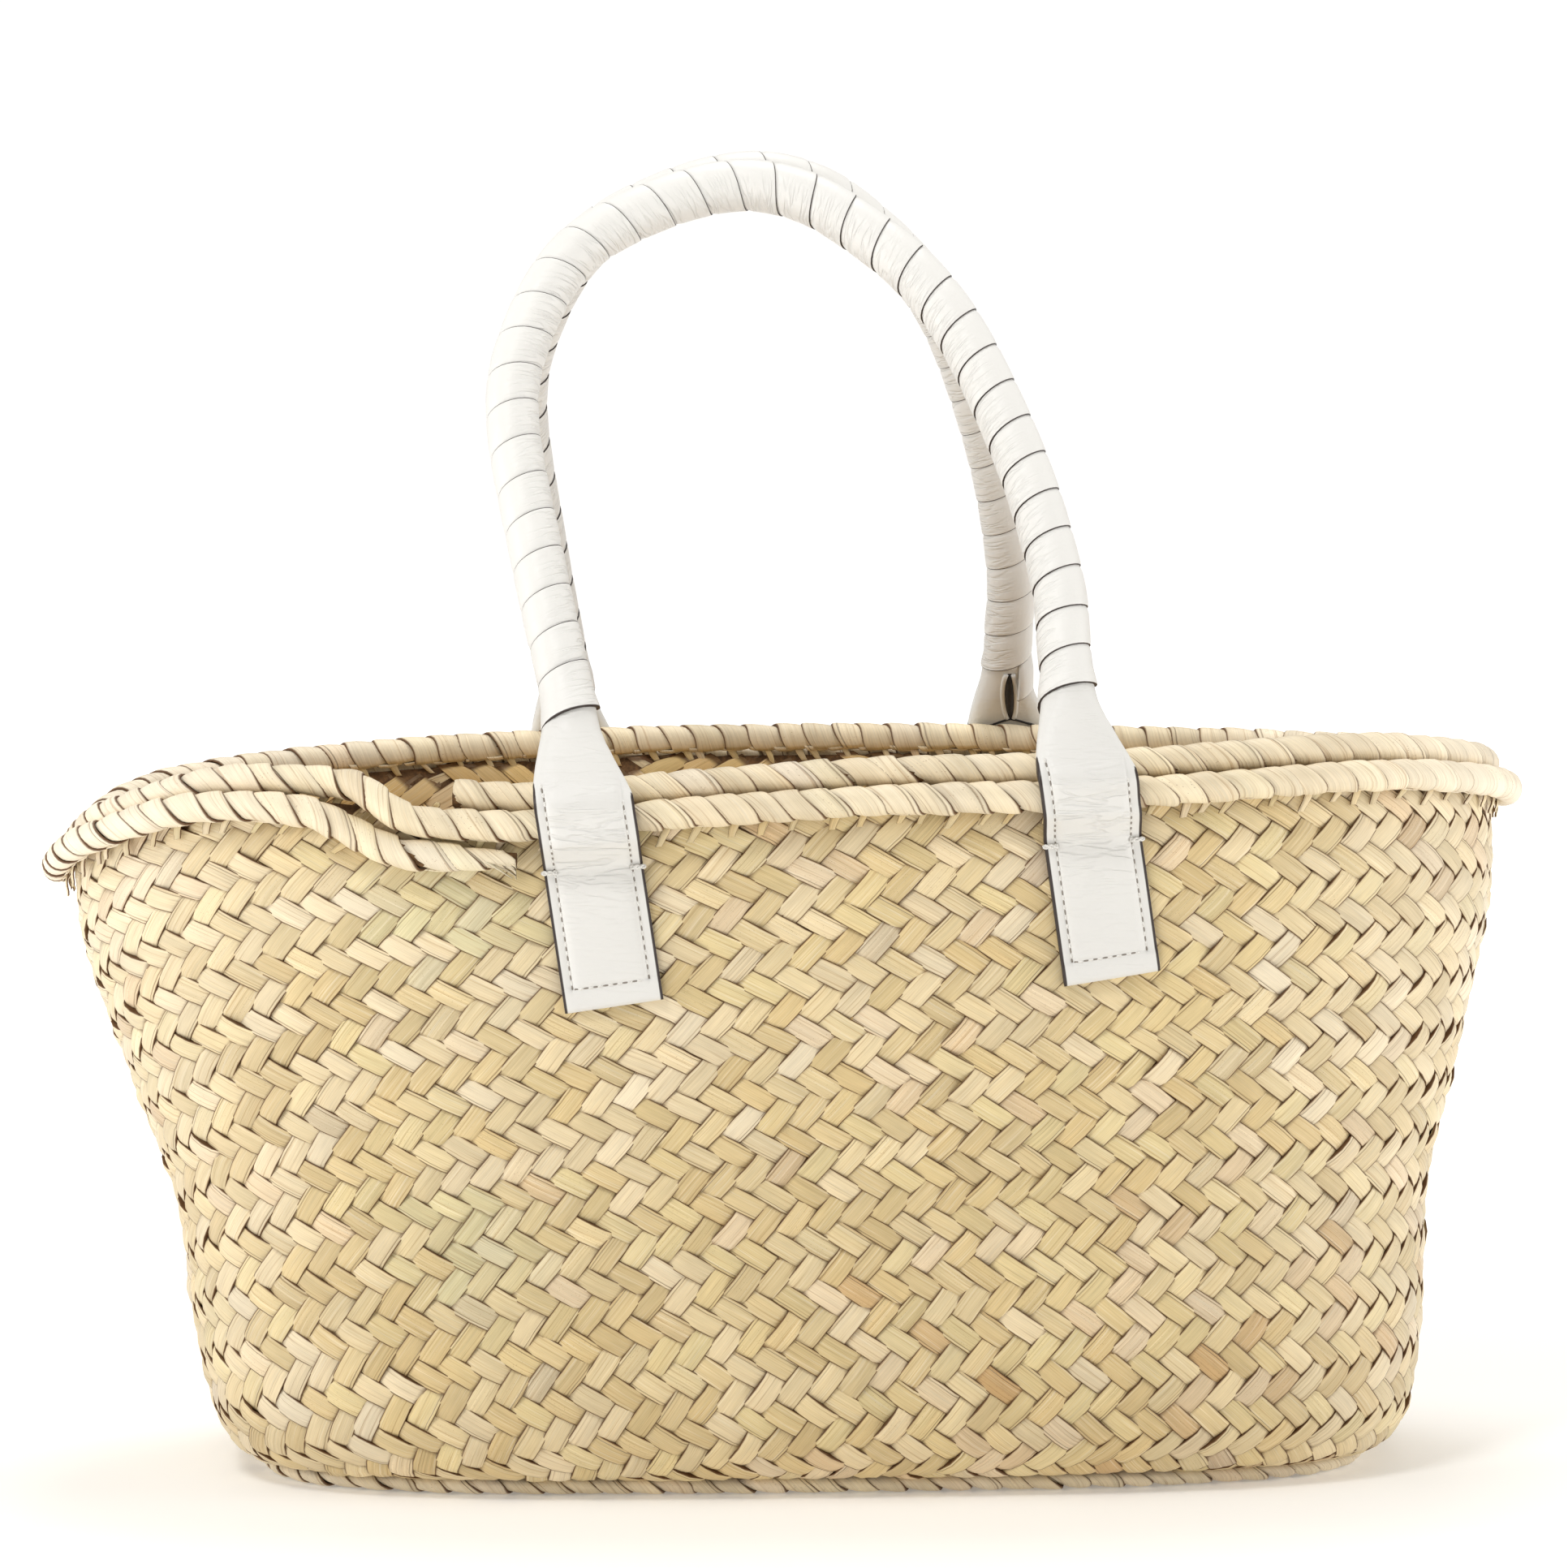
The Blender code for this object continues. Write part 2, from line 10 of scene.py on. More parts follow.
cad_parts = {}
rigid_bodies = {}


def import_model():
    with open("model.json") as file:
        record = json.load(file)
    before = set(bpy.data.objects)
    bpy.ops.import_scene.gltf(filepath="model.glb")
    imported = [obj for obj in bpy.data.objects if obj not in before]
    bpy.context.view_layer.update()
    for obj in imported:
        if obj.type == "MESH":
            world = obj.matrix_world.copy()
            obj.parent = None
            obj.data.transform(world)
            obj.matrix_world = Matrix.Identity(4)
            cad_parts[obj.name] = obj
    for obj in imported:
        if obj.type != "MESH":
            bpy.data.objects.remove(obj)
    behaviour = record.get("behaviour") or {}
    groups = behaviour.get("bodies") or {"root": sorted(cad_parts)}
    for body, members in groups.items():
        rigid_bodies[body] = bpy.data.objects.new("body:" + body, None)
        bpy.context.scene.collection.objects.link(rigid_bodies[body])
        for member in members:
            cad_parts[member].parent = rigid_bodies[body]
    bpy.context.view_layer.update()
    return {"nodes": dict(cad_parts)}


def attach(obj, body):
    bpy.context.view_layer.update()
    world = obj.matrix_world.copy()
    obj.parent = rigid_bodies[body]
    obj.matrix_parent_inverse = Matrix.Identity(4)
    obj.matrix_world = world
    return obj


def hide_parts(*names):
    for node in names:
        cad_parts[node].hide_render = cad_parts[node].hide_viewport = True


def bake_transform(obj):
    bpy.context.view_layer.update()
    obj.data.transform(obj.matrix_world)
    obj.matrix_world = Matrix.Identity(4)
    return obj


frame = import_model()
print("frame loaded")

# The body's shape, the same as the solid basket's: half sizes of the oval in plan at the rim and
# at the base, and how it opens from bottom to top.
body = {
    "rimHalfLength": 0.2735, "rimHalfDepth": 0.122, "rimHeight": 0.280, "rimSquareness": 2.5,
    "baseHalfLength": 0.216, "baseHalfDepth": 0.088, "baseSquareness": 3.4, "baseShift": 0.011,
    "thickness": 0.004, "turns": 4, "bottomZ": 0.007, "topZ": 0.2676, "bottomTurn": 0.04,
    "swell": [(0, 0, 0), (.009, .10, .16), (.040, .21, .38), (.095, .29, .56), (.210, .37, .70),
              (.400, .45, .80), (.580, .68, .89), (.830, .96, .98), (1, 1, 1)],
    "rimLine": [(0, -.007), (30, -.003), (57, -.001), (90, 0), (118, -.004), (148, -.015),
                (180, -.034), (207, -.019), (226, -.005), (248, -.011), (262, -.006),
                (275, -.002), (292, 0), (315, .005), (336, 0)],
}


def smooth(t):
    t = min(1.0, max(0.0, t))
    return t * t * (3.0 - 2.0 * t)


def mix(a, b, t):
    return a + (b - a) * t


# Linear colour from a web code.
def hexColour(code):
    values = [int(code[i:i + 2], 16) / 255 for i in (1, 3, 5)]
    return tuple(v / 12.92 if v < 0.04045 else ((v + 0.055) / 1.055) ** 2.4 for v in values)


def spline(points, samples):  # Catmull-Rom through rows of numbers
    rows = [np.array(p, dtype=float) for p in points]
    rows = [2 * rows[0] - rows[1]] + rows + [2 * rows[-1] - rows[-2]]
    spans = len(rows) - 3
    out = []
    for i in range(samples):
        place = i / (samples - 1) * spans
        k = min(int(place), spans - 1)
        t = place - k
        a, b, c, d = rows[k:k + 4]
        out.append(0.5 * (2 * b + (c - a) * t + (2 * a - 5 * b + 4 * c - d) * t ** 2
                          + (3 * b - a - 3 * c + d) * t ** 3))
    return np.array(out)


@lru_cache(maxsize=None)
def oval(halfLength, halfDepth, squareness):
    angle = np.linspace(0.0, 2.0 * math.pi, 1441)
    reach = (np.abs(np.cos(angle) / halfLength) ** squareness
             + np.abs(np.sin(angle) / halfDepth) ** squareness) ** (-1.0 / squareness)
    xs, ys = reach * np.cos(angle), reach * np.sin(angle)
    steps = np.hypot(np.diff(xs), np.diff(ys))
    shares = np.concatenate([[0.0], np.cumsum(steps)]) / steps.sum()
    return xs, ys, shares, steps.sum()


def planPoint(halfLength, halfDepth, squareness, share):
    xs, ys, shares, _ = oval(round(halfLength, 6), round(halfDepth, 6), round(squareness, 3))
    share = share % 1.0
    return float(np.interp(share, shares, xs)), float(np.interp(share, shares, ys))


@lru_cache(maxsize=None)
def rimLineTable():
    rows = body["rimLine"]
    rows = ([(rows[-1][0] - 360, rows[-1][1])] + rows
            + [(360, rows[0][1]), (rows[1][0] + 360, rows[1][1])])
    curve = spline(rows, 400)
    return curve[:, 0], curve[:, 1]


def rimLift(x, y):
    angle = math.degrees(math.atan2(y / body["rimHalfDepth"], x / body["rimHalfLength"])) % 360.0
    angles, lifts = rimLineTable()
    return float(np.interp(angle, angles, lifts))


@lru_cache(maxsize=None)
def swellTable():
    curve = spline(body["swell"], 240)
    rise = np.diff(curve[:, 0]) * (body["topZ"] - body["bottomZ"])
    out = np.diff(curve[:, 2]) * (body["rimHalfDepth"] - body["baseHalfDepth"])
    along = np.concatenate([[0.0], np.cumsum(np.hypot(rise, out))])
    return along / along[-1], curve, along[-1]


def wallSection(v):
    along, curve, _ = swellTable()
    height, longer, deeper = (float(np.interp(v, along, curve[:, k])) for k in range(3))
    return (mix(body["baseHalfLength"], body["rimHalfLength"], longer),
            mix(body["baseHalfDepth"], body["rimHalfDepth"], deeper),
            mix(body["baseShift"], 0.0, height),
            mix(body["baseSquareness"], body["rimSquareness"], height), height)


# A point on the wall, u round it and v up it; past either edge it curls inwards.
def wallPoint(u, v, inward=0.0):
    past = max(-v, 0.0) * swellTable()[2]
    over = max(v - 1.0, 0.0) * swellTable()[2]
    v = min(max(v, 0.0), 1.0)
    halfLength, halfDepth, shift, squareness, height = wallSection(v)
    low, high = wallSection(max(v - 0.01, 0.0)), wallSection(min(v + 0.01, 1.0))
    rise = (high[4] - low[4]) * (body["topZ"] - body["bottomZ"]) * smooth(v / body["bottomTurn"])
    flare = high[1] - low[1]
    slope = math.hypot(rise, flare)
    inset = inward * rise / slope + past + 0.4 * over
    lift = inward * flare / slope + 0.35 * over
    x, y = planPoint(halfLength - inset, halfDepth - inset, squareness, u)
    z = mix(body["bottomZ"], body["topZ"], height) + rimLift(x, y) * height ** 2 + lift
    return Vector((x + shift, y, z))


def wallDepth(x, z, side):
    low, high = 0.0, 1.0
    for _ in range(24):
        v = 0.5 * (low + high)
        halfLength, halfDepth, shift, squareness, height = wallSection(v)
        along = min(abs(x - shift) / halfLength, 0.999)
        depth = halfDepth * (1.0 - along ** squareness) ** (1.0 / squareness)
        here = mix(body["bottomZ"], body["topZ"], height) + rimLift(x, side * depth) * height ** 2
        if here < z:
            low = v
        else:
            high = v
    return depth


def rimShare(x):  # share of the way round at x on the front
    xs, ys, shares, _ = oval(body["rimHalfLength"], body["rimHalfDepth"], body["rimSquareness"])
    front = ys < 0
    order = np.argsort(xs[front])
    return float(np.interp(x, xs[front][order], shares[front][order]))


# Camera, light and floor.
studio = {"eye": (-0.104, -1.797, 0.362), "turn": -3.3, "down": 3.2, "lens": 106.5,
          "floor": "#FBFAF8", "nearGlow": 0.17, "farGlow": 0.85, "sky": 0.44,
          "lamps": [("keyLight", (-0.9, -1.4, 2.1), (0, 0, 0.16), 0.5, 18),
                    ("leftLight", (-2.0, -0.5, 0.7), (0, 0, 0.2), 0.9, 12),
                    ("rightLight", (2.0, -0.5, 0.7), (0, 0, 0.2), 0.9, 12),
                    ("topLight", (0.1, 0.5, 2.2), (0, 0, 0.2), 1.0, 19)]}


def setStudio():
    camera = bpy.data.objects.new("camera", bpy.data.cameras.new("camera"))
    camera.data.lens = studio["lens"]
    camera.data.sensor_width = 36
    camera.data.clip_end = 50
    camera.location = studio["eye"]
    camera.rotation_euler = (math.radians(90 - studio["down"]), 0, math.radians(studio["turn"]))
    bpy.context.scene.collection.objects.link(camera)
    bpy.context.scene.camera = camera

    floorMesh = bpy.data.meshes.new("floor")
    reach = 12.0
    floorMesh.from_pydata([(-reach, -reach, 0), (reach, -reach, 0), (reach, reach, 0),
                           (-reach, reach, 0)], [], [(0, 1, 2, 3)])
    floor = bpy.data.objects.new("floor", floorMesh)
    bpy.context.scene.collection.objects.link(floor)
    paper = plainMaterial("studioFloor", studio["floor"], 0.9)
    shader = paper.node_tree.nodes["Principled BSDF"]
    shader.inputs["Emission Color"].default_value = (1, 1, 1, 1)
    away = addNode(paper.node_tree, "ShaderNodeVectorMath", {
        0: outOf(addNode(paper.node_tree, "ShaderNodeTexCoord"), "Object")},
        operation="LENGTH").outputs["Value"]
    glow = ease(paper.node_tree, away, 0.35, 1.5, studio["nearGlow"], studio["farGlow"])
    joinUp(paper.node_tree, glow, shader.inputs["Emission Strength"])
    floorMesh.materials.append(paper)

    bpy.context.scene.view_settings.view_transform = "Standard"
    world = bpy.data.worlds.new("studio")
    bpy.context.scene.world = world
    world.use_nodes = True
    nodes = world.node_tree.nodes
    nodes["Background"].inputs["Color"].default_value = (1.0, 0.985, 0.96, 1)
    rays = nodes.new("ShaderNodeLightPath")     # the backdrop is white, the room light softer
    seen = nodes.new("ShaderNodeMapRange")
    seen.inputs["To Min"].default_value = studio["sky"]
    seen.inputs["To Max"].default_value = 1.06
    world.node_tree.links.new(rays.outputs["Is Camera Ray"], seen.inputs["Value"])
    world.node_tree.links.new(seen.outputs["Result"], nodes["Background"].inputs["Strength"])
    for name, place, aim, size, power in studio["lamps"]:
        lamp = bpy.data.lights.new(name, "AREA")
        lamp.energy, lamp.size = power, size
        light = bpy.data.objects.new(name, lamp)
        light.location = place
        light.rotation_euler = (Vector(aim) - Vector(place)).to_track_quat("-Z", "Y").to_euler()
        bpy.context.scene.collection.objects.link(light)


# Short ways to place nodes and join them up.
def joinUp(tree, value, socket):
    if isinstance(value, bpy.types.NodeSocket):
        tree.links.new(value, socket)
    elif value is not None:
        socket.default_value = value


def addNode(tree, kind, fields=None, **settings):
    node = tree.nodes.new(kind)
    for name, value in settings.items():
        setattr(node, name, value)
    for name, value in (fields or {}).items():
        ready = [s for s in node.inputs if s.enabled]
        socket = ready[name] if isinstance(name, int) else next(s for s in ready if s.name == name)
        joinUp(tree, value, socket)
    return node


def outOf(node, name=None):
    ready = [s for s in node.outputs if s.enabled]
    return ready[0] if name is None else next(s for s in ready if s.name == name)


def calc(tree, operation, a, b=None, c=None, clamp=False):
    fields = {0: a}
    if b is not None:
        fields[1] = b
    if c is not None:
        fields[2] = c
    return outOf(addNode(tree, "ShaderNodeMath", fields, operation=operation, use_clamp=clamp))


def vec(tree, operation, a, b=None, scale=None):
    node = addNode(tree, "ShaderNodeVectorMath", {0: a}, operation=operation)
    if b is not None:
        joinUp(tree, b, node.inputs[1])
    if scale is not None:
        joinUp(tree, scale, node.inputs["Scale"])
    return outOf(node)


def ease(tree, value, low, high, toLow=0.0, toHigh=1.0):
    return outOf(addNode(tree, "ShaderNodeMapRange", {
        "Value": value, "From Min": low, "From Max": high, "To Min": toLow, "To Max": toHigh},
        interpolation_type="SMOOTHSTEP"))


def newTree(name, kind, inputs, outputs):
    tree = bpy.data.node_groups.new(name, kind)
    for label, socket, default in inputs:
        item = tree.interface.new_socket(label, in_out="INPUT", socket_type="NodeSocket" + socket)
        if default is not None:
            item.default_value = default
    for label, socket in outputs:
        tree.interface.new_socket(label, in_out="OUTPUT", socket_type="NodeSocket" + socket)
    start = tree.nodes.new("NodeGroupInput")
    end = tree.nodes.new("NodeGroupOutput")
    return tree, {s.name: s for s in start.outputs if s.name}, end


# Run a geometry tree on an object and keep the result as its plain mesh.
def runTree(host, tree, values):
    modifier = host.modifiers.new(tree.name, "NODES")
    modifier.node_group = tree
    for item in tree.interface.items_tree:
        if item.in_out == "INPUT" and item.name in values:
            modifier[item.identifier] = values[item.name]
    graph = bpy.context.evaluated_depsgraph_get()
    graph.update()
    mesh = bpy.data.meshes.new_from_object(host.evaluated_get(graph), depsgraph=graph,
                                           preserve_all_data_layers=True)
    host.modifiers.clear()
    host.data = mesh
    mesh.name = host.name
    return host


def addObject(name, points, faces, material=None, smoothFaces=True, collection=None, edges=()):
    mesh = bpy.data.meshes.new(name)
    mesh.from_pydata([tuple(p) for p in points], list(edges), faces)
    mesh.update()
    if smoothFaces and faces:
        mesh.shade_smooth()
    if material is not None:
        for one in material if isinstance(material, (list, tuple)) else [material]:
            mesh.materials.append(one)
    obj = bpy.data.objects.new(name, mesh)
    (collection or bpy.context.scene.collection).objects.link(obj)
    return obj


def addValues(obj, name, kind, values):
    attribute = obj.data.attributes.new(name, kind, "POINT")
    key = "value" if kind == "FLOAT" else "vector"
    attribute.data.foreach_set(key, np.array(values, dtype=np.float32).ravel())


def addUv(obj, name, perPoint):
    layer = obj.data.uv_layers.new(name=name)
    corners = np.zeros(len(obj.data.loops), dtype=np.int32)
    obj.data.loops.foreach_get("vertex_index", corners)
    layer.data.foreach_set("uv", np.array(perPoint, dtype=np.float32)[corners].ravel())


def dropObject(*objects):
    for obj in objects:
        bpy.data.objects.remove(obj, do_unlink=True)


# Materials.
def plainMaterial(name, colour, roughness):
    material = bpy.data.materials.new(name)
    material.use_nodes = True
    shader = material.node_tree.nodes["Principled BSDF"]
    shader.inputs["Base Color"].default_value = (*hexColour(colour), 1)
    shader.inputs["Roughness"].default_value = roughness
    return material


def mixColour(tree, factor, a, b, blend="MIX"):
    a = (*a, 1) if isinstance(a, tuple) and len(a) == 3 else a
    b = (*b, 1) if isinstance(b, tuple) and len(b) == 3 else b
    return outOf(addNode(tree, "ShaderNodeMix", {"Factor": factor, "A": a, "B": b},
                         data_type="RGBA", blend_type=blend))


def rampOf(tree, value, stops):
    node = addNode(tree, "ShaderNodeValToRGB", {"Fac": value})
    ramp = node.color_ramp
    while len(ramp.elements) < len(stops):
        ramp.elements.new(0.5)
    for element, (place, colour) in zip(ramp.elements, stops):
        element.position = place
        element.color = (*hexColour(colour), 1)
    return outOf(node)


leafLook = {
    "tones": [(0.00, "#F0E2C6"), (0.18, "#E6D3AE"), (0.36, "#DFCA9C"), (0.52, "#D6BD8A"),
              (0.66, "#E2CF9C"), (0.78, "#E6D1AF"), (0.90, "#D2B383"), (1.00, "#BD9A69")],
    "green": "#CAC9A5", "grey": "#B6A997", "shade": "#5E3A18", "fibre": "#A07640",
    "cream": "#F8ECD6",
    "blonde": "#F3E6CC", "speck": "#8F6536",
    # soft greenish patches: middle and reach, in metres
    "greenAt": [((-0.130, -0.118, 0.215), 0.040), ((-0.120, -0.110, 0.098), 0.030),
                ((0.150, 0.112, 0.190), 0.045)],
}


# A noise pattern drawn out along the leaf: cells per metre along it and across its width.
def grainNoise(tree, along, across, offset, perMetre, perWidth, detail, roughness=0.5):
    at = addNode(tree, "ShaderNodeCombineXYZ", {
        "X": calc(tree, "MULTIPLY", along, perMetre),
        "Y": calc(tree, "MULTIPLY", across, perWidth), "Z": offset})
    return outOf(addNode(tree, "ShaderNodeTexNoise", {
        "Vector": outOf(at), "Scale": 1.0, "Detail": detail, "Roughness": roughness}), "Fac")


# Colour and relief of a dried palm leaf. Grain is (metres along, share across) the leaf.
def makeLeafGroup():
    tree, given, end = newTree("palmLeafFinish", "ShaderNodeTree", [
        ("Grain", "Vector", None), ("Strand tone", "Float", 0.5), ("Leaf tone", "Float", 0.5),
        ("Place", "Vector", None), ("Warmth", "Float", 0.0), ("End reach", "Float", 0.0092),
        ("Edge shade", "Float", 1.0), ("Bleach", "Float", 0.0)],
        [("Colour", "Color"), ("Height", "Float"), ("Roughness", "Float")])
    split = addNode(tree, "ShaderNodeSeparateXYZ", {0: given["Grain"]})
    along, across = outOf(split, "X"), outOf(split, "Y")
    offset = calc(tree, "MULTIPLY", given["Leaf tone"], 37.0)
    region = outOf(addNode(tree, "ShaderNodeTexNoise", {
        "Vector": given["Place"], "Scale": 7.0, "Detail": 1.0}), "Fac")
    tone = calc(tree, "MULTIPLY_ADD", given["Strand tone"], 0.55,
                calc(tree, "MULTIPLY", given["Leaf tone"], 0.30))
    tone = calc(tree, "ADD", tone, ease(tree, region, 0.30, 0.70, 0.0, 0.15))
    colour = rampOf(tree, tone, leafLook["tones"])
    green = None
    for middle, reach in leafLook["greenAt"]:
        away = addNode(tree, "ShaderNodeVectorMath", {0: given["Place"], 1: middle},
                       operation="DISTANCE").outputs["Value"]
        spot = ease(tree, away, reach * 0.5, reach * 1.3, 1.0, 0.0)
        green = spot if green is None else calc(tree, "MAXIMUM", green, spot)
    green = calc(tree, "MULTIPLY", green, ease(tree, calc(
        tree, "MULTIPLY_ADD", region, 0.8, calc(tree, "MULTIPLY", given["Strand tone"], 0.6)),
        0.45, 0.95, 0.0, 0.48))
    colour = mixColour(tree, green, colour, hexColour(leafLook["green"]))
    grey = ease(tree, given["Leaf tone"], 0.986, 0.990, 0.0, 0.6)
    colour = mixColour(tree, grey, colour, hexColour(leafLook["grey"]))
    # painted highlight: the leaves grow paler and creamier towards both ends of the basket,
    # standing for the side light that grazes them; the given share of cream is added everywhere on
    # top
    sideways = calc(tree, "ABSOLUTE", outOf(addNode(tree, "ShaderNodeSeparateXYZ", {
        0: given["Place"]}), "X"))
    palenessAndSideHighlight = calc(tree, "ADD", given["Bleach"], ease(tree, sideways, 0.15, 0.29, 0.0, 0.42))
    colour = mixColour(tree, palenessAndSideHighlight, colour, hexColour(leafLook["cream"]))
    warm = mixColour(tree, 1.0, colour, (1.15, 0.97, 0.70), "MULTIPLY")
    colour = mixColour(tree, given["Warmth"], colour, warm)

    broad = grainNoise(tree, along, across, offset, 70.0, 2.2, 1.0)
    fibre = grainNoise(tree, along, across, offset, 22.0, 11.0, 2.0, 0.7)
    hair = grainNoise(tree, along, across, calc(tree, "ADD", offset, 5.0), 40.0, 34.0, 1.0)
    colour = mixColour(tree, ease(tree, fibre, 0.54, 0.72, 0.0, 0.42), colour,
                       hexColour(leafLook["fibre"]))
    colour = mixColour(tree, ease(tree, fibre, 0.30, 0.46, 0.40, 0.0), colour,
                       hexColour(leafLook["blonde"]))
    each = calc(tree, "FRACT", calc(tree, "MULTIPLY", given["Leaf tone"], 5.0))
    light = calc(tree, "MULTIPLY_ADD", each, 0.18, calc(
        tree, "MULTIPLY_ADD", hair, 0.36, 0.545))
    light = calc(tree, "MULTIPLY_ADD", broad, 0.28, light)
    colour = vec(tree, "SCALE", colour, scale=light)
    dots = addNode(tree, "ShaderNodeCombineXYZ", {
        "X": calc(tree, "MULTIPLY", along, 900.0), "Y": calc(tree, "MULTIPLY", across, 9.0),
        "Z": offset})
    dots = outOf(addNode(tree, "ShaderNodeTexVoronoi", {
        "Vector": outOf(dots), "Scale": 1.0, "Randomness": 1.0}), "Distance")
    dotted = calc(tree, "MULTIPLY", ease(tree, dots, 0.10, 0.17, 0.5, 0.0),
                  ease(tree, given["Leaf tone"], 0.70, 0.80))
    colour = mixColour(tree, dotted, colour, hexColour(leafLook["speck"]))

    # some leaves are folded over lengthwise and show a line beside one edge: a groove in the
    # relief, painted darker as painted shade in the fold
    side = calc(tree, "MULTIPLY", ease(tree, calc(tree, "FRACT", calc(
        tree, "MULTIPLY", given["Leaf tone"], 13.0)), 0.49, 0.51, -1.0, 1.0), across)
    fold = calc(tree, "ABSOLUTE", calc(tree, "SUBTRACT", side, 0.36))
    folded = calc(tree, "MULTIPLY", ease(tree, fold, 0.008, 0.028, 1.0, 0.0),
                  ease(tree, calc(tree, "FRACT", calc(tree, "MULTIPLY", given["Leaf tone"], 7.0)),
                       0.58, 0.62))
    # painted shade: each leaf is darker along its side edges and towards its ends, where it dives
    # under its neighbours
    edge = ease(tree, calc(tree, "ABSOLUTE", across), 0.438, 0.490, 0.0, 0.96)
    ends = ease(tree, calc(tree, "SUBTRACT", calc(tree, "ABSOLUTE", along), given["End reach"]),
                -0.0022, 0.0006, 0.0, 0.85)
    shade = calc(tree, "MULTIPLY", calc(tree, "MAXIMUM", edge, ends), given["Edge shade"])
    shade = calc(tree, "MAXIMUM", shade, calc(tree, "MULTIPLY", folded, 0.5))
    colour = mixColour(tree, shade, colour, hexColour(leafLook["shade"]))
    height = calc(tree, "SUBTRACT", calc(tree, "MULTIPLY_ADD", hair, 0.35, fibre),
                  calc(tree, "MULTIPLY", folded, 0.8))
    rough = calc(tree, "MULTIPLY_ADD", fibre, 0.22, 0.40)
    joinUp(tree, colour, end.inputs["Colour"])
    joinUp(tree, height, end.inputs["Height"])
    joinUp(tree, rough, end.inputs["Roughness"])
    return tree


def readValue(tree, name, what="Fac"):
    return outOf(addNode(tree, "ShaderNodeAttribute", attribute_name=name), what)


def leafMaterial(name, group, paleness=0.0, endReach=0.0092, edgeShade=1.0, bump=0.55):
    material = bpy.data.materials.new(name)
    material.use_nodes = True
    tree = material.node_tree
    shader = tree.nodes["Principled BSDF"]
    finish = addNode(tree, "ShaderNodeGroup", node_tree=group)
    inside = readValue(tree, "innerSide")
    for label, value in (("Grain", outOf(addNode(tree, "ShaderNodeUVMap", uv_map="leafGrain"))),
                         ("Strand tone", readValue(tree, "strandTone")),
                         ("Leaf tone", readValue(tree, "leafTone")),
                         ("Place", readValue(tree, "leafPlace", "Vector")),
                         ("Warmth", calc(tree, "MULTIPLY", inside, 0.5)),
                         ("Bleach", paleness),
                         ("End reach", endReach), ("Edge shade", edgeShade)):
        joinUp(tree, value, finish.inputs[label])
    joinUp(tree, finish.outputs["Colour"], shader.inputs["Base Color"])
    joinUp(tree, finish.outputs["Roughness"], shader.inputs["Roughness"])
    relief = addNode(tree, "ShaderNodeBump", {"Strength": bump, "Distance": 0.0004,
                                              "Height": finish.outputs["Height"]})
    joinUp(tree, outOf(relief), shader.inputs["Normal"])
    shader.inputs["Specular IOR Level"].default_value = 0.35
    shader.inputs["Sheen Weight"].default_value = 0.0
    return material


leatherLook = {"wrap": "#E5E3DE", "tab": "#DFDDD8", "edge": "#362C28"}


# Fine grain, pores and pull creases of soft leather; the creases are also painted darker as painted
# shade.
def makeLeatherGroup():
    tree, given, end = newTree("softLeatherFinish", "ShaderNodeTree", [
        ("Place", "Vector", None), ("Tint", "Color", None), ("Crease", "Float", 0.0),
        ("Crease stretch", "Vector", (1.0, 1.0, 1.0))],
        [("Colour", "Color"), ("Height", "Float"), ("Roughness", "Float")])
    cells = outOf(addNode(tree, "ShaderNodeTexVoronoi", {
        "Vector": given["Place"], "Scale": 900.0}, feature="SMOOTH_F1"), "Distance")
    fine = outOf(addNode(tree, "ShaderNodeTexNoise", {
        "Vector": given["Place"], "Scale": 350.0, "Detail": 3.0}), "Fac")
    soft = outOf(addNode(tree, "ShaderNodeTexNoise", {
        "Vector": given["Place"], "Scale": 28.0, "Detail": 2.0}), "Fac")
    stretched = vec(tree, "MULTIPLY", given["Place"], given["Crease stretch"])
    folds = outOf(addNode(tree, "ShaderNodeTexNoise", {
        "Vector": stretched, "Scale": 1.0, "Detail": 2.0, "Roughness": 0.5,
        "Distortion": 0.3}), "Fac")
    ridge = calc(tree, "ABSOLUTE", calc(tree, "SUBTRACT", folds, 0.5))
    crease = calc(tree, "MULTIPLY", ease(tree, ridge, 0.0, 0.085, 1.0, 0.0), given["Crease"])
    height = calc(tree, "SUBTRACT",
                  calc(tree, "ADD", calc(tree, "MULTIPLY", cells, 0.10),
                       calc(tree, "MULTIPLY", fine, 0.22)), calc(tree, "MULTIPLY", crease, 1.0))
    # painted shade: the creases are painted a little darker as well as sunk in the relief
    light = calc(tree, "SUBTRACT", calc(tree, "MULTIPLY_ADD", soft, 0.06, 0.965),
                 calc(tree, "MULTIPLY", crease, 0.045))
    colour = vec(tree, "SCALE", given["Tint"], scale=light)
    rough = calc(tree, "MULTIPLY_ADD", fine, 0.20, 0.36)
    joinUp(tree, colour, end.inputs["Colour"])
    joinUp(tree, height, end.inputs["Height"])
    joinUp(tree, rough, end.inputs["Roughness"])
    return tree


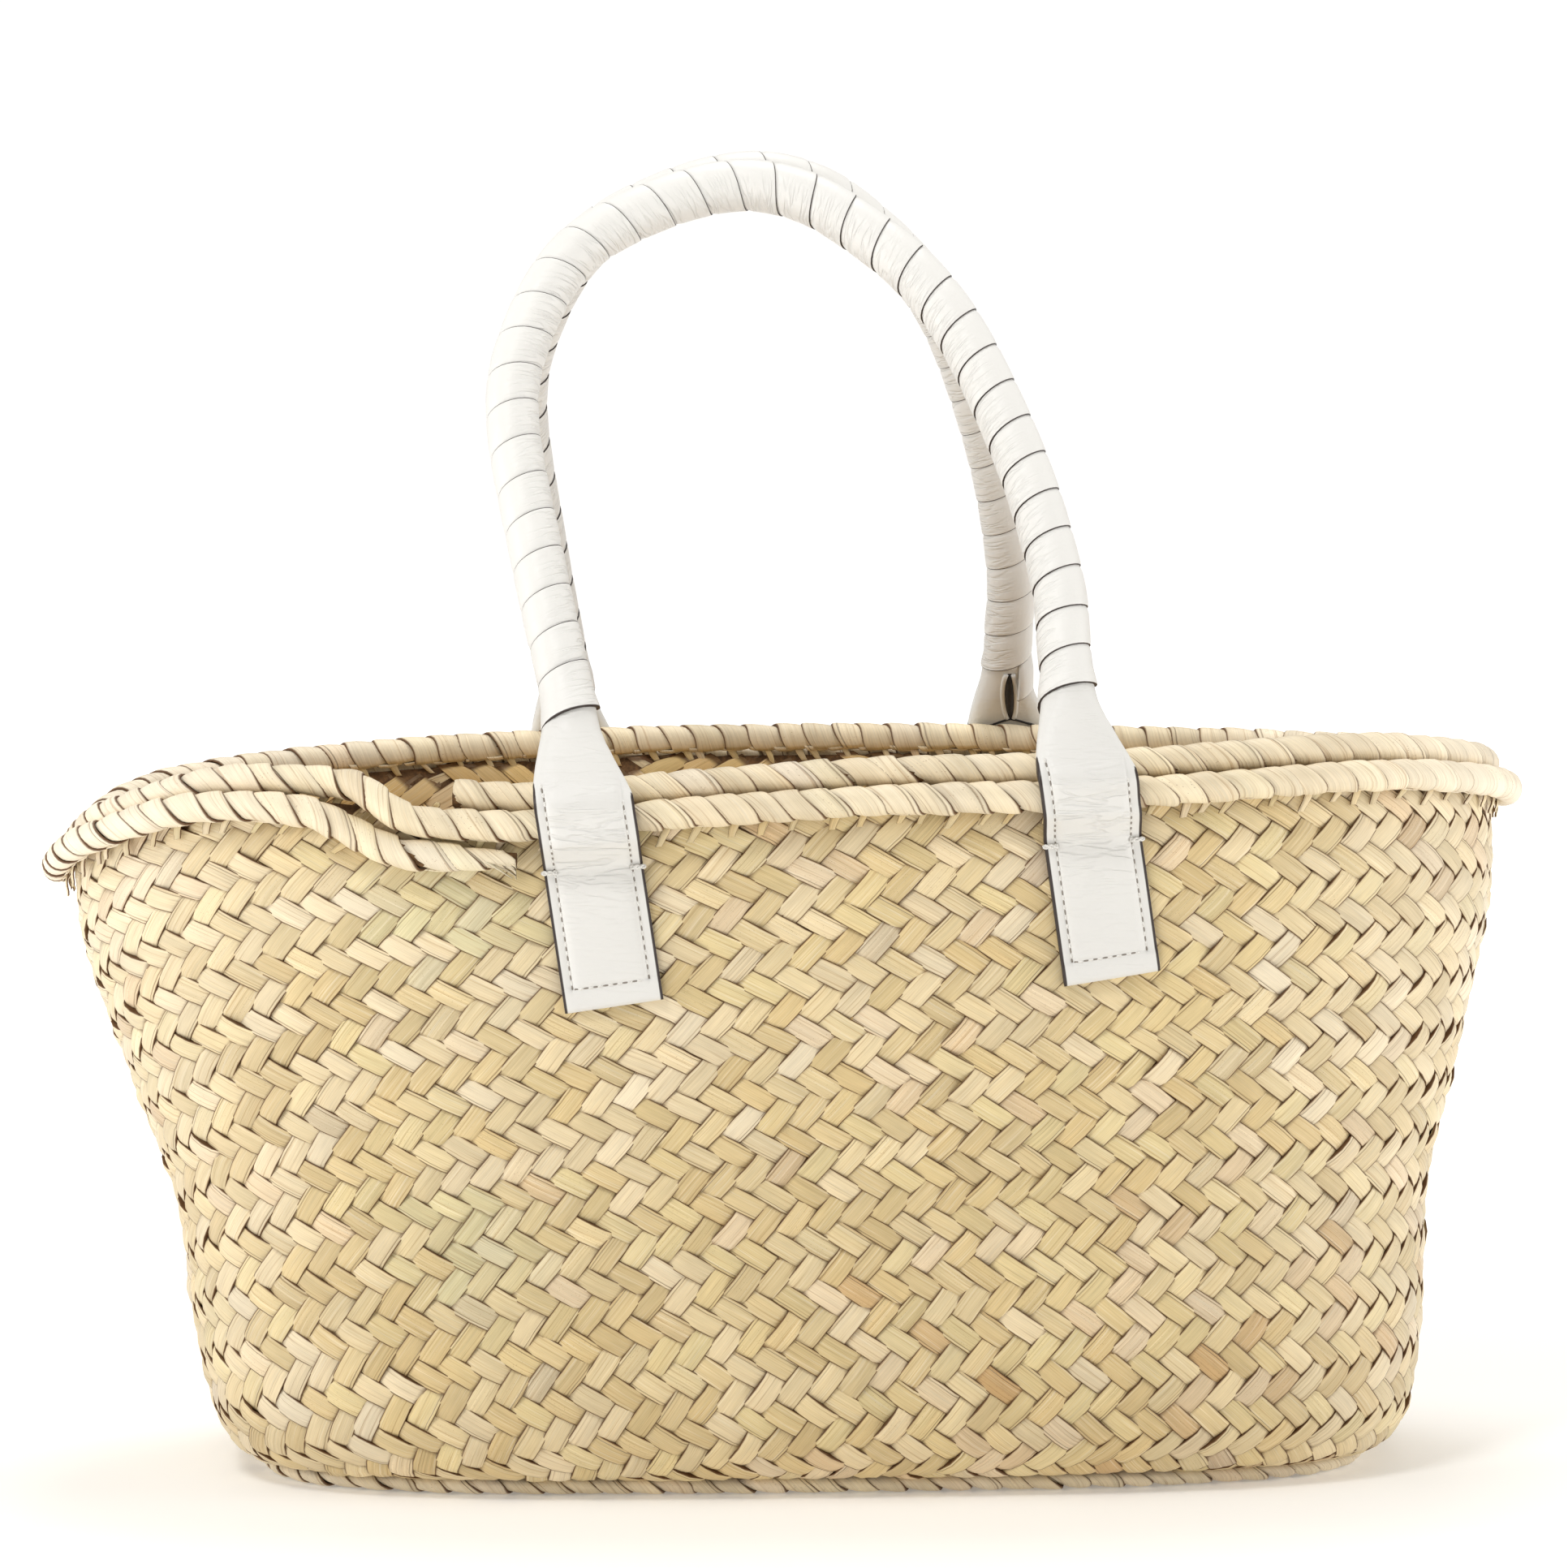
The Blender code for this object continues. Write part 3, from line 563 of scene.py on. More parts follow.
# White leather; the piece's own creaseMask says where it creases.
def leatherMaterial(name, group, tint, stretch, place=None):
    material = bpy.data.materials.new(name)
    material.use_nodes = True
    tree = material.node_tree
    shader = tree.nodes["Principled BSDF"]
    finish = addNode(tree, "ShaderNodeGroup", node_tree=group)
    where = place(tree) if place else outOf(addNode(tree, "ShaderNodeTexCoord"), "Object")
    joinUp(tree, where, finish.inputs["Place"])
    finish.inputs["Tint"].default_value = (*hexColour(tint), 1)
    joinUp(tree, readValue(tree, "creaseMask"), finish.inputs["Crease"])
    finish.inputs["Crease stretch"].default_value = stretch
    edge = readValue(tree, "edgePaint")
    colour = mixColour(tree, ease(tree, edge, 0.35, 0.65), finish.outputs["Colour"],
                       hexColour(leatherLook["edge"]))
    joinUp(tree, colour, shader.inputs["Base Color"])
    joinUp(tree, finish.outputs["Roughness"], shader.inputs["Roughness"])
    relief = addNode(tree, "ShaderNodeBump", {"Strength": 0.6, "Distance": 0.0007,
                                              "Height": finish.outputs["Height"]})
    joinUp(tree, outOf(relief), shader.inputs["Normal"])
    shader.inputs["Specular IOR Level"].default_value = 0.45
    return material


# Fibres for thread, rope and felt, which read object coordinates.
def twistedMaterial(name, colour, dark, scale, roughness=0.8):
    material = bpy.data.materials.new(name)
    material.use_nodes = True
    tree = material.node_tree
    shader = tree.nodes["Principled BSDF"]
    place = outOf(addNode(tree, "ShaderNodeTexCoord"), "Object")
    noise = outOf(addNode(tree, "ShaderNodeTexNoise", {
        "Vector": place, "Scale": scale, "Detail": 4.0, "Roughness": 0.7}), "Fac")
    joinUp(tree, mixColour(tree, ease(tree, noise, 0.35, 0.7), hexColour(dark), hexColour(colour)),
           shader.inputs["Base Color"])
    relief = addNode(tree, "ShaderNodeBump", {"Strength": 0.5, "Distance": 0.0003,
                                              "Height": noise})
    joinUp(tree, outOf(relief), shader.inputs["Normal"])
    shader.inputs["Roughness"].default_value = roughness
    return material


setStudio()
leafFinish = makeLeafGroup()
leatherFinish = makeLeatherGroup()
palmLeaf = leafMaterial("plaitedPalmLeaf", leafFinish)
palmShade = twistedMaterial("shadeBetweenLeaves", "#7A5731", "#4F3518", 400.0)
# the rim's leaves are drawn half way towards cream all over
rimLeaf = leafMaterial("wrappedPalmLeaf", leafFinish, paleness=0.5, endReach=1.0, bump=0.7)
whiteThread = twistedMaterial("whiteThread", "#F4F3EF", "#D3CFC7", 2500.0)
# painted shade: dark flat blobs where the thread goes into the leather stand for the shade in the
# needle holes
needleHole = plainMaterial("needleHole", "#8A837A", 0.8)
print("materials ready")


# Plaited wall: leaves laid on a flat lattice, then carried onto the body's surface.
plait = {
    "strandWidth": 0.0084, "columns": 104, "climb": 8, "skew": 0.25,
    "rowLow": 0.0228, "rowHigh": 0.0197, "rowTurnsAt": 0.55,
    "slopes": [(0.00, 4), (0.12, 7), (0.25, 8.5), (0.38, 9.5), (0.50, 14), (0.60, 15.5),
               (0.67, 14), (0.73, 11), (0.79, 8), (0.86, 3), (0.93, 1.5), (1.00, 4)],
    "crown": 0.0007, "edgeDrop": 0.00060, "dive": 0.00110, "deepDive": 0.0016, "halfLength": 1.42,
    "wider": 1.045, "leafDepth": 0.0004, "kinds": 12, "seed": 7,
    "coreOut": 0.0015, "coreIn": 0.0025, "coreInset": 0.004, "lowest": -0.012, "highest": 0.985,
}
latticeStep = plait["strandWidth"] / math.sqrt(2)


# Rows counted up the wall: wider rows low down.
@lru_cache(maxsize=None)
def rowTable():
    v = np.linspace(-0.1, 1.1, 601)
    t = np.clip(v / plait["rowTurnsAt"], 0, 1)
    pitch = plait["rowLow"] + (plait["rowHigh"] - plait["rowLow"]) * t * t * (3 - 2 * t)
    rows = np.concatenate([[0.0], np.cumsum(np.diff(v) * swellTable()[2]
                                            / (0.5 * (pitch[1:] + pitch[:-1])))])
    return v, rows - np.interp(0.0, v, rows)


# How far the rows have climbed at each share of the way round, in rows.
@lru_cache(maxsize=None)
def climbTable():
    u = np.linspace(0.0, 1.0, 401)
    places, slopes = zip(*plait["slopes"])
    rise = np.tan(np.radians(np.interp(u, places, slopes)))
    climbed = np.concatenate([[0.0], np.cumsum(0.5 * (rise[1:] + rise[:-1]) * np.diff(u))])
    return u, climbed / climbed[-1] * plait["climb"]


# Where a point of the wall lies on the flat lattice.
def flatPlace(u, v):
    whole = math.floor(u)
    us, climbed = climbTable()
    row = float(np.interp(v, *rowTable())) - float(np.interp(u - whole, us, climbed)) \
        - whole * plait["climb"]
    column = (plait["columns"] + plait["skew"] * plait["climb"]) * u + plait["skew"] * row
    return 2 * latticeStep * column, 4 * latticeStep * row


# A surface that carries its own flat pattern, its shares and its normals.
def makeForm(name, pointAt, flatAt, us, vs):
    points = [[np.array(pointAt(u, v)) for u in us] for v in vs]
    grid = np.array(points)
    alongU = np.gradient(grid, axis=1)
    alongV = np.gradient(grid, axis=0)
    normal = np.cross(alongU, alongV)
    normal /= np.linalg.norm(normal, axis=2, keepdims=True) + 1e-12
    n = len(us)
    faces = [(r * n + c, r * n + c + 1, (r + 1) * n + c + 1, (r + 1) * n + c)
             for r in range(len(vs) - 1) for c in range(n - 1)]
    form = addObject(name, grid.reshape(-1, 3), faces)
    addUv(form, "flat", [flatAt(u, v) for v in vs for u in us])
    addValues(form, "around", "FLOAT", [u for v in vs for u in us])
    addValues(form, "upWall", "FLOAT", [v for v in vs for u in us])
    addValues(form, "outward", "FLOAT_VECTOR", normal)
    return form


# A few closed leaves to choose from, lying along X with their crown up.
def makeLeafShapes():
    group = bpy.data.collections.new("leafShapes")
    bpy.context.scene.collection.children.link(group)
    width = plait["strandWidth"]
    stations = (-1.0, -0.72, -0.44, 0.0, 0.44, 0.72, 1.0)
    across = (-0.5, -0.44, -0.2, 0.0, 0.2, 0.44, 0.5)
    rng = np.random.default_rng(plait["seed"])
    n, m = len(stations), len(across)
    for number in range(plait["kinds"]):
        bow = rng.uniform(-0.06, 0.06)
        sway = rng.uniform(-0.05, 0.05)
        left, right = rng.uniform(-0.05, 0.03, (2, n))
        tilt = rng.uniform(-0.00020, 0.00020)
        dent = rng.uniform(-0.00010, 0.00010, (n, m))
        lift = {5: 0.0009, 8: -0.0009}.get(number, 0.0)     # a loose edge now and then
        gully = 0.0004 if number in (3, 10) else 0.0        # a leaf pinched along its middle
        points, grain, rows = [], [], []
        for depth in (0.0, plait["leafDepth"]):
            row = []
            for i, s in enumerate(stations):
                reach = abs(s) * plait["halfLength"]
                for j, t in enumerate(across):
                    if depth and 0 < i < n - 1 and 0 < j < m - 1:
                        row.append(None)
                        continue
                    slack = left[i] * smooth(-2 * t) + right[i] * smooth(2 * t)
                    y = width * (t * plait["wider"] + math.copysign(slack, t) * abs(2 * t)
                                 + bow * (1 - s * s) + sway * s * (1 - abs(s)))
                    z = plait["crown"] - plait["edgeDrop"] * abs(2 * t) ** 2.4
                    z -= plait["dive"] * smooth((reach - 0.42) / 0.60)
                    z -= plait["deepDive"] * smooth((reach - 0.95) / 0.47)
                    z += tilt * 2 * t + dent[i, j]
                    z += (lift * (0.5 + t) if lift > 0 else lift * (t - 0.5)) * (1 - s * s)
                    z -= gully * (1 - abs(2 * t)) * (1 - s * s)
                    row.append(len(points))
                    x = s * plait["halfLength"] * width
                    points.append((x, y, z - depth))
                    grain.append((x, t))
            rows.append(row)
        top, low = rows
        faces = [(top[i * m + j], top[(i + 1) * m + j], top[(i + 1) * m + j + 1],
                  top[i * m + j + 1]) for i in range(n - 1) for j in range(m - 1)]
        rim = ([(i, 0) for i in range(n)] + [(n - 1, j) for j in range(1, m)]
               + [(i, m - 1) for i in range(n - 2, -1, -1)] + [(0, j) for j in range(m - 2, 0, -1)])
        for (a, b), (c, d) in zip(rim, rim[1:] + rim[:1]):
            faces.append((top[c * m + d], top[a * m + b], low[a * m + b], low[c * m + d]))
        faces.append(tuple(low[a * m + b] for a, b in reversed(rim)))
        leaf = addObject(f"leaf{number}", points, faces, collection=group)
        addUv(leaf, "leafGrain", grain)
    return group


def randomOf(tree, kind, low, high, ident, seed):
    return outOf(addNode(tree, "FunctionNodeRandomValue",
                         {"Min": low, "Max": high, "ID": ident, "Seed": seed}, data_type=kind))


def storeValue(tree, geometry, name, value, kind="FLOAT", domain="POINT"):
    return outOf(addNode(tree, "GeometryNodeStoreNamedAttribute",
                         {"Geometry": geometry, "Name": name, "Value": value},
                         data_type=kind, domain=domain))


def makePlaitTree():
    tree, given, end = newTree("plaitOnForm", "GeometryNodeTree", [
        ("Core", "Geometry", None), ("Form", "Object", None), ("Leaves", "Collection", None),
        ("Leaf material", "Material", None), ("Lattice step", "Float", 0.006),
        ("First column", "Int", -6), ("Columns", "Int", 120),
        ("First row", "Int", -10), ("Rows", "Int", 26),
        ("Lowest", "Float", 0.0), ("Highest", "Float", 1.0), ("Thickness", "Float", 0.004),
        ("Seed", "Int", 1)], [("Geometry", "Geometry")])
    form = outOf(addNode(tree, "GeometryNodeObjectInfo", {"Object": given["Form"]}), "Geometry")
    leaves = outOf(addNode(tree, "GeometryNodeCollectionInfo", {
        "Collection": given["Leaves"], "Separate Children": True, "Reset Children": True}))
    flat = outOf(addNode(tree, "GeometryNodeInputNamedAttribute", {"Name": "flat"},
                         data_type="FLOAT_VECTOR"))

    def onForm(name, kind, at, value=None):
        if value is None:
            value = outOf(addNode(tree, "GeometryNodeInputNamedAttribute", {"Name": name},
                                  data_type=kind))
        node = addNode(tree, "GeometryNodeSampleUVSurface", {
            "Mesh": form, "Value": value, "UV Map": flat, "Sample UV": at}, data_type=kind)
        return outOf(node, "Value"), outOf(node, "Is Valid")

    step = given["Lattice step"]
    placeHere = outOf(addNode(tree, "GeometryNodeInputPosition"))
    index = outOf(addNode(tree, "GeometryNodeInputIndex"))
    families = []
    # column and row offsets in steps, turn, whether it shows outside, and its strand's direction
    for number, (offX, offY, turn, outside, way) in enumerate((
            (0.5, 0.5, 45, True, -2), (1.5, 2.5, -45, True, 2),
            (1.5, 0.5, -45, False, 2), (0.5, 2.5, 45, False, -2))):
        count = calc(tree, "MULTIPLY", given["Columns"], given["Rows"])
        line = outOf(addNode(tree, "GeometryNodeMeshLine", {"Count": count}))
        column = calc(tree, "ADD", calc(tree, "FLOORED_MODULO", index, given["Columns"]),
                      given["First column"])
        row = calc(tree, "ADD", calc(tree, "FLOOR", calc(tree, "DIVIDE", index, given["Columns"])),
                   given["First row"])
        x = calc(tree, "MULTIPLY", calc(tree, "MULTIPLY_ADD", column, 2.0, offX), step)
        y = calc(tree, "MULTIPLY", calc(tree, "MULTIPLY_ADD", row, 4.0, offY), step)
        spot = outOf(addNode(tree, "ShaderNodeCombineXYZ", {"X": x, "Y": y}))
        around, valid = onForm("around", "FLOAT", spot)
        upWall, _ = onForm("upWall", "FLOAT", spot)
        spotOnForm, _ = onForm("", "FLOAT_VECTOR", spot, placeHere)
        strand = calc(tree, "MULTIPLY_ADD", row, float(way), column)
        strandSeed = calc(tree, "ADD", given["Seed"], 11 if way > 0 else 47)
        lot = calc(tree, "MULTIPLY_ADD", calc(tree, "FLOOR", calc(tree, "DIVIDE", row, 3.0)),
                   1000.0, strand)
        seed = calc(tree, "ADD", given["Seed"], 100.0 + number)
        points = line
        for name, value, kind in (
                ("strandTone", randomOf(tree, "FLOAT", 0.0, 1.0, lot, strandSeed), "FLOAT"),
                ("leafTone", randomOf(tree, "FLOAT", 0.0, 1.0, index, seed), "FLOAT"),
                ("leafPlace", spotOnForm, "FLOAT_VECTOR"),
                ("innerSide", 0.0 if outside else 1.0, "FLOAT")):
            points = storeValue(tree, points, name, value, kind)
        drop = outOf(addNode(tree, "ShaderNodeCombineXYZ", {
            "X": x, "Y": y, "Z": 0.0 if outside else calc(tree, "MULTIPLY", given["Thickness"],
                                                         -1.0)}))
        keep = calc(tree, "MULTIPLY", valid, calc(tree, "MULTIPLY", calc(
            tree, "COMPARE", around, 0.5, 0.5), calc(tree, "LESS_THAN", around, 1.0)))
        keep = calc(tree, "MULTIPLY", keep, calc(tree, "MULTIPLY", calc(
            tree, "GREATER_THAN", upWall, given["Lowest"]), calc(
            tree, "LESS_THAN", upWall, given["Highest"])))
        points = outOf(addNode(tree, "GeometryNodeSetPosition", {
            "Geometry": points, "Position": drop}))
        points = storeValue(tree, points, "keepIt", keep)
        kept = outOf(addNode(tree, "GeometryNodeInputNamedAttribute", {"Name": "keepIt"},
                             data_type="FLOAT"))
        points = outOf(addNode(tree, "GeometryNodeDeleteGeometry", {
            "Geometry": points, "Selection": calc(tree, "LESS_THAN", kept, 0.5)},
            domain="POINT"))
        tone = outOf(addNode(tree, "GeometryNodeInputNamedAttribute", {"Name": "leafTone"},
                             data_type="FLOAT"))
        own = calc(tree, "MULTIPLY", tone, 99991.0)  # each leaf's own number, whatever is left out
        turned = addNode(tree, "ShaderNodeCombineXYZ", {
            "X": randomOf(tree, "FLOAT", -0.07, 0.07, own, 3) if outside else
            calc(tree, "ADD", randomOf(tree, "FLOAT", -0.07, 0.07, own, 3), math.pi),
            "Z": calc(tree, "ADD", randomOf(tree, "FLOAT", -0.045, 0.045, own, 4),
                      math.radians(turn))})
        size = addNode(tree, "ShaderNodeCombineXYZ", {
            "X": randomOf(tree, "FLOAT", 0.98, 1.02, own, 5),
            "Y": randomOf(tree, "FLOAT", 0.96, 1.06, own, 6),
            "Z": randomOf(tree, "FLOAT", 0.85, 1.15, own, 7)})
        families.append(outOf(addNode(tree, "GeometryNodeInstanceOnPoints", {
            "Points": points, "Instance": leaves, "Pick Instance": True,
            "Instance Index": randomOf(tree, "INT", 0, plait["kinds"] - 1, own, 8),
            "Rotation": outOf(turned), "Scale": outOf(size)})))
    joined = addNode(tree, "GeometryNodeJoinGeometry")
    for family in reversed(families):
        tree.links.new(family, joined.inputs[0])
    flatLeaves = outOf(addNode(tree, "GeometryNodeRealizeInstances", {
        "Geometry": outOf(joined)}))
    here = outOf(addNode(tree, "GeometryNodeInputPosition"))
    onto, _ = onForm("", "FLOAT_VECTOR", here, here)
    outward, _ = onForm("outward", "FLOAT_VECTOR", here)
    height = outOf(addNode(tree, "ShaderNodeSeparateXYZ", {0: here}), "Z")
    final = vec(tree, "ADD", onto, vec(tree, "SCALE", outward, scale=height))
    curved = outOf(addNode(tree, "GeometryNodeSetPosition", {
        "Geometry": flatLeaves, "Position": final}))
    painted = outOf(addNode(tree, "GeometryNodeSetMaterial", {
        "Geometry": curved, "Material": given["Leaf material"]}))
    whole = addNode(tree, "GeometryNodeJoinGeometry")
    tree.links.new(painted, whole.inputs[0])
    tree.links.new(given["Core"], whole.inputs[0])
    joinUp(tree, outOf(whole), end.inputs["Geometry"])
    return tree


# The thin dark band between the outside and the inside leaves, a closed ring: painted shade in the
# gaps between the leaves.
def makeCore(name, pointAt, us, levels, outer, inner, material):
    n = len(us)
    rings = [[pointAt(u, v, outer) for u in us] for v in levels]
    rings += [[pointAt(u, v, inner) for u in us] for v in reversed(levels)]
    points = [p for ring in rings for p in ring]
    total = len(rings)
    faces = []
    for r in range(total):
        for c in range(n):
            a, b = r * n + c, r * n + (c + 1) % n
            d, e = ((r + 1) % total) * n + c, ((r + 1) % total) * n + (c + 1) % n
            faces.append((a, b, e, d))
    return addObject(name, points, faces, material)


def makeWall():
    us = np.linspace(-0.03, 1.03, 340)
    vs = np.linspace(-0.06, 1.04, 90)
    form = makeForm("wallForm", wallPoint, flatPlace, us, vs)
    shapes = makeLeafShapes()
    tree = makePlaitTree()
    ringUs = [i / 128 for i in range(128)]
    for turn in range(body["turns"]):
        low, high = turn / body["turns"], (turn + 1) / body["turns"]
        edges = (max(low, plait["coreInset"]), min(high, 1 - plait["coreInset"]))
        levels = [mix(*edges, k / 6) for k in range(7)]
        wall = makeCore(f"plaitedTurn{turn + 1}", wallPoint, ringUs, levels, plait["coreOut"],
                        plait["coreIn"], palmShade)
        runTree(wall, tree, {
            "Form": form, "Leaves": shapes, "Leaf material": palmLeaf,
            "Lattice step": latticeStep, "First column": -6, "Columns": 120,
            "First row": -11, "Rows": 27,
            "Lowest": plait["lowest"] if turn == 0 else low,
            "Highest": plait["highest"] if turn == body["turns"] - 1 else high,
            "Thickness": body["thickness"], "Seed": plait["seed"]})
        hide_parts(f"wall_turn_{turn + 1}")
        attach(wall, "basket")
        print("plaited turn", turn + 1, len(wall.data.polygons), "faces")
    return form, shapes, tree


wallForm, leafShapes, plaitTree = makeWall()
dropObject(wallForm)


# Roll, handle wraps and stitches: shapes laid out along X, then bent onto a path.
def makePath(name, points, normals, girths=None):
    path = addObject(name, points, [], edges=[(i, i + 1) for i in range(len(points) - 1)])
    addValues(path, "pathNormal", "FLOAT_VECTOR", normals)
    addValues(path, "pathGirth", "FLOAT", [1.0] * len(points) if girths is None else girths)
    return path


def pathLength(points):
    return float(sum((Vector(b) - Vector(a)).length for a, b in zip(points, points[1:])))


def makeAlongTree():
    tree, given, end = newTree("shapesAlongPath", "GeometryNodeTree", [
        ("Core", "Geometry", None), ("Path", "Object", None), ("Shapes", "Collection", None),
        ("Shape material", "Material", None), ("Kinds", "Int", 1), ("Start", "Float", 0.0),
        ("Pitch", "Float", 0.012), ("Count", "Int", 10), ("Girth wobble", "Float", 0.0),
        ("Turn wobble", "Float", 0.0), ("Slide wobble", "Float", 0.0), ("Seed", "Int", 1)],
        [("Geometry", "Geometry")])
    path = outOf(addNode(tree, "GeometryNodeObjectInfo", {"Object": given["Path"]}), "Geometry")
    curve = outOf(addNode(tree, "GeometryNodeMeshToCurve", {"Mesh": path}))
    shapes = outOf(addNode(tree, "GeometryNodeCollectionInfo", {
        "Collection": given["Shapes"], "Separate Children": True, "Reset Children": True}))
    step = outOf(addNode(tree, "ShaderNodeCombineXYZ", {"X": given["Pitch"]}))
    first = outOf(addNode(tree, "ShaderNodeCombineXYZ", {"X": given["Start"]}))
    line = outOf(addNode(tree, "GeometryNodeMeshLine", {
        "Count": given["Count"], "Start Location": first, "Offset": step}))
    index = outOf(addNode(tree, "GeometryNodeInputIndex"))
    here = outOf(addNode(tree, "GeometryNodeInputPosition"))

    def onPath(kind, name, at):
        value = outOf(addNode(tree, "GeometryNodeInputNamedAttribute", {"Name": name},
                              data_type=kind))
        return addNode(tree, "GeometryNodeSampleCurve", {
            "Curves": curve, "Value": value, "Length": at}, mode="LENGTH", data_type=kind,
            use_all_curves=True)

    startX = outOf(addNode(tree, "ShaderNodeSeparateXYZ", {0: here}), "X")
    spot = outOf(onPath("FLOAT", "pathGirth", startX), "Position")
    points = line
    for name, value, kind in (
            ("strandTone", randomOf(tree, "FLOAT", 0.0, 1.0, index, given["Seed"]), "FLOAT"),
            ("leafTone", randomOf(tree, "FLOAT", 0.0, 1.0, index,
                                  calc(tree, "ADD", given["Seed"], 5)), "FLOAT"),
            ("leafPlace", spot, "FLOAT_VECTOR")):
        points = storeValue(tree, points, name, value, kind)
    slide = outOf(addNode(tree, "ShaderNodeCombineXYZ", {"X": calc(
        tree, "MULTIPLY", given["Slide wobble"],
        randomOf(tree, "FLOAT", -1.0, 1.0, index, 23))}))
    points = outOf(addNode(tree, "GeometryNodeSetPosition", {"Geometry": points, "Offset": slide}))
    girth = calc(tree, "MULTIPLY_ADD", randomOf(tree, "FLOAT", -1.0, 1.0, index, 21),
                 given["Girth wobble"], 1.0)
    turn = calc(tree, "MULTIPLY", given["Turn wobble"],
                randomOf(tree, "FLOAT", -1.0, 1.0, index, 22))
    placed = outOf(addNode(tree, "GeometryNodeInstanceOnPoints", {
        "Points": points, "Instance": shapes, "Pick Instance": True,
        "Instance Index": randomOf(tree, "INT", 0, calc(tree, "SUBTRACT", given["Kinds"], 1),
                                   index, 24),
        "Rotation": outOf(addNode(tree, "ShaderNodeCombineXYZ", {"X": turn})),
        "Scale": outOf(addNode(tree, "ShaderNodeCombineXYZ", {"X": 1.0, "Y": girth,
                                                             "Z": girth}))}))
    straight = outOf(addNode(tree, "GeometryNodeRealizeInstances", {"Geometry": placed}))
    split = addNode(tree, "ShaderNodeSeparateXYZ", {0: here})
    x, y, z = (outOf(split, axis) for axis in "XYZ")
    sampled = onPath("FLOAT_VECTOR", "pathNormal", x)
    tangent = vec(tree, "NORMALIZE", outOf(sampled, "Tangent"))
    rough = outOf(sampled, "Value")
    leaning = addNode(tree, "ShaderNodeVectorMath", {0: rough, 1: tangent},
                      operation="DOT_PRODUCT")
    normal = vec(tree, "NORMALIZE", vec(tree, "SUBTRACT", rough, vec(
        tree, "SCALE", tangent, scale=leaning.outputs["Value"])))
    across = vec(tree, "CROSS_PRODUCT", tangent, normal)
    wide = outOf(onPath("FLOAT", "pathGirth", x), "Value")
    final = vec(tree, "ADD", outOf(sampled, "Position"), vec(
        tree, "ADD", vec(tree, "SCALE", normal, scale=calc(tree, "MULTIPLY", y, wide)),
        vec(tree, "SCALE", across, scale=calc(tree, "MULTIPLY", z, wide))))
    bent = outOf(addNode(tree, "GeometryNodeSetPosition", {
        "Geometry": straight, "Position": final}))
    painted = outOf(addNode(tree, "GeometryNodeSetMaterial", {
        "Geometry": bent, "Material": given["Shape material"]}))
    whole = addNode(tree, "GeometryNodeJoinGeometry")
    tree.links.new(painted, whole.inputs[0])
    tree.links.new(given["Core"], whole.inputs[0])
    joinUp(tree, outOf(whole), end.inputs["Geometry"])
    return tree


def shapeGroup(name):
    group = bpy.data.collections.new(name)
    bpy.context.scene.collection.children.link(group)
    return group


# A closed strip from rows of (outer point, inner point) pairs, one row per station.
def closedStrip(name, group, rows, grain, values=None):
    n, m = len(rows), len(rows[0])
    points = [pair[0] for row in rows for pair in row] + [pair[1] for row in rows for pair in row]
    half = n * m
    faces = []
    for i in range(n - 1):
        for j in range(m - 1):
            a, b, c, d = i * m + j, i * m + j + 1, (i + 1) * m + j + 1, (i + 1) * m + j
            faces += [(a, b, c, d), (half + a, half + d, half + c, half + b)]
    for i in range(n - 1):
        for j, back in ((0, False), (m - 1, True)):
            a, d = i * m + j, (i + 1) * m + j
            face = (a, d, half + d, half + a)
            faces.append(face[::-1] if back else face)
    for j in range(m - 1):
        for i, back in ((0, True), (n - 1, False)):
            a, b = i * m + j, i * m + j + 1
            face = (a, b, half + b, half + a)
            faces.append(face[::-1] if back else face)
    strip = addObject(name, points, faces, collection=group)
    addUv(strip, "leafGrain", list(grain) * 2)
    for label, given in (values or {}).items():
        addValues(strip, label, "FLOAT", given)
    outwards(strip)
    return strip


def outwards(obj):
    bm = bmesh.new()
    bm.from_mesh(obj.data)
    bmesh.ops.recalc_face_normals(bm, faces=bm.faces)
    bm.to_mesh(obj.data)
    bm.free()
    obj.data.shade_smooth()


# A closed tube through points, for what lies under a wrapping.
def makeTube(name, points, normals, radii, material, sides=12):
    rings, total = [], len(points)
    for k, (point, normal) in enumerate(zip(points, normals)):
        along = (Vector(points[min(k + 1, total - 1)]) - Vector(points[max(k - 1, 0)])).normalized()
        normal = (Vector(normal) - along * along.dot(Vector(normal))).normalized()
        other = along.cross(normal)
        rings.append([Vector(point) + radii[k] * (math.cos(a) * normal + math.sin(a) * other)
                      for a in (2 * math.pi * i / sides for i in range(sides))])
    faces = [(r * sides + c, r * sides + (c + 1) % sides, (r + 1) * sides + (c + 1) % sides,
              (r + 1) * sides + c) for r in range(total - 1) for c in range(sides)]
    faces += [tuple(range(sides))[::-1], tuple(range((total - 1) * sides, total * sides))]
    tube = addObject(name, [p for ring in rings for p in ring], faces, material)
    outwards(tube)
    return tube


rimRoll = {
    "radius": 0.00575, "seat": 0.0009, "drop": 0.010, "start": -0.128, "end": -0.101,
    "crossing": 0.042, "tailDrop": 0.012, "pitch": 0.0118, "overlap": 0.34, "leaf": 0.0004,
    "slant": 0.0042,
}


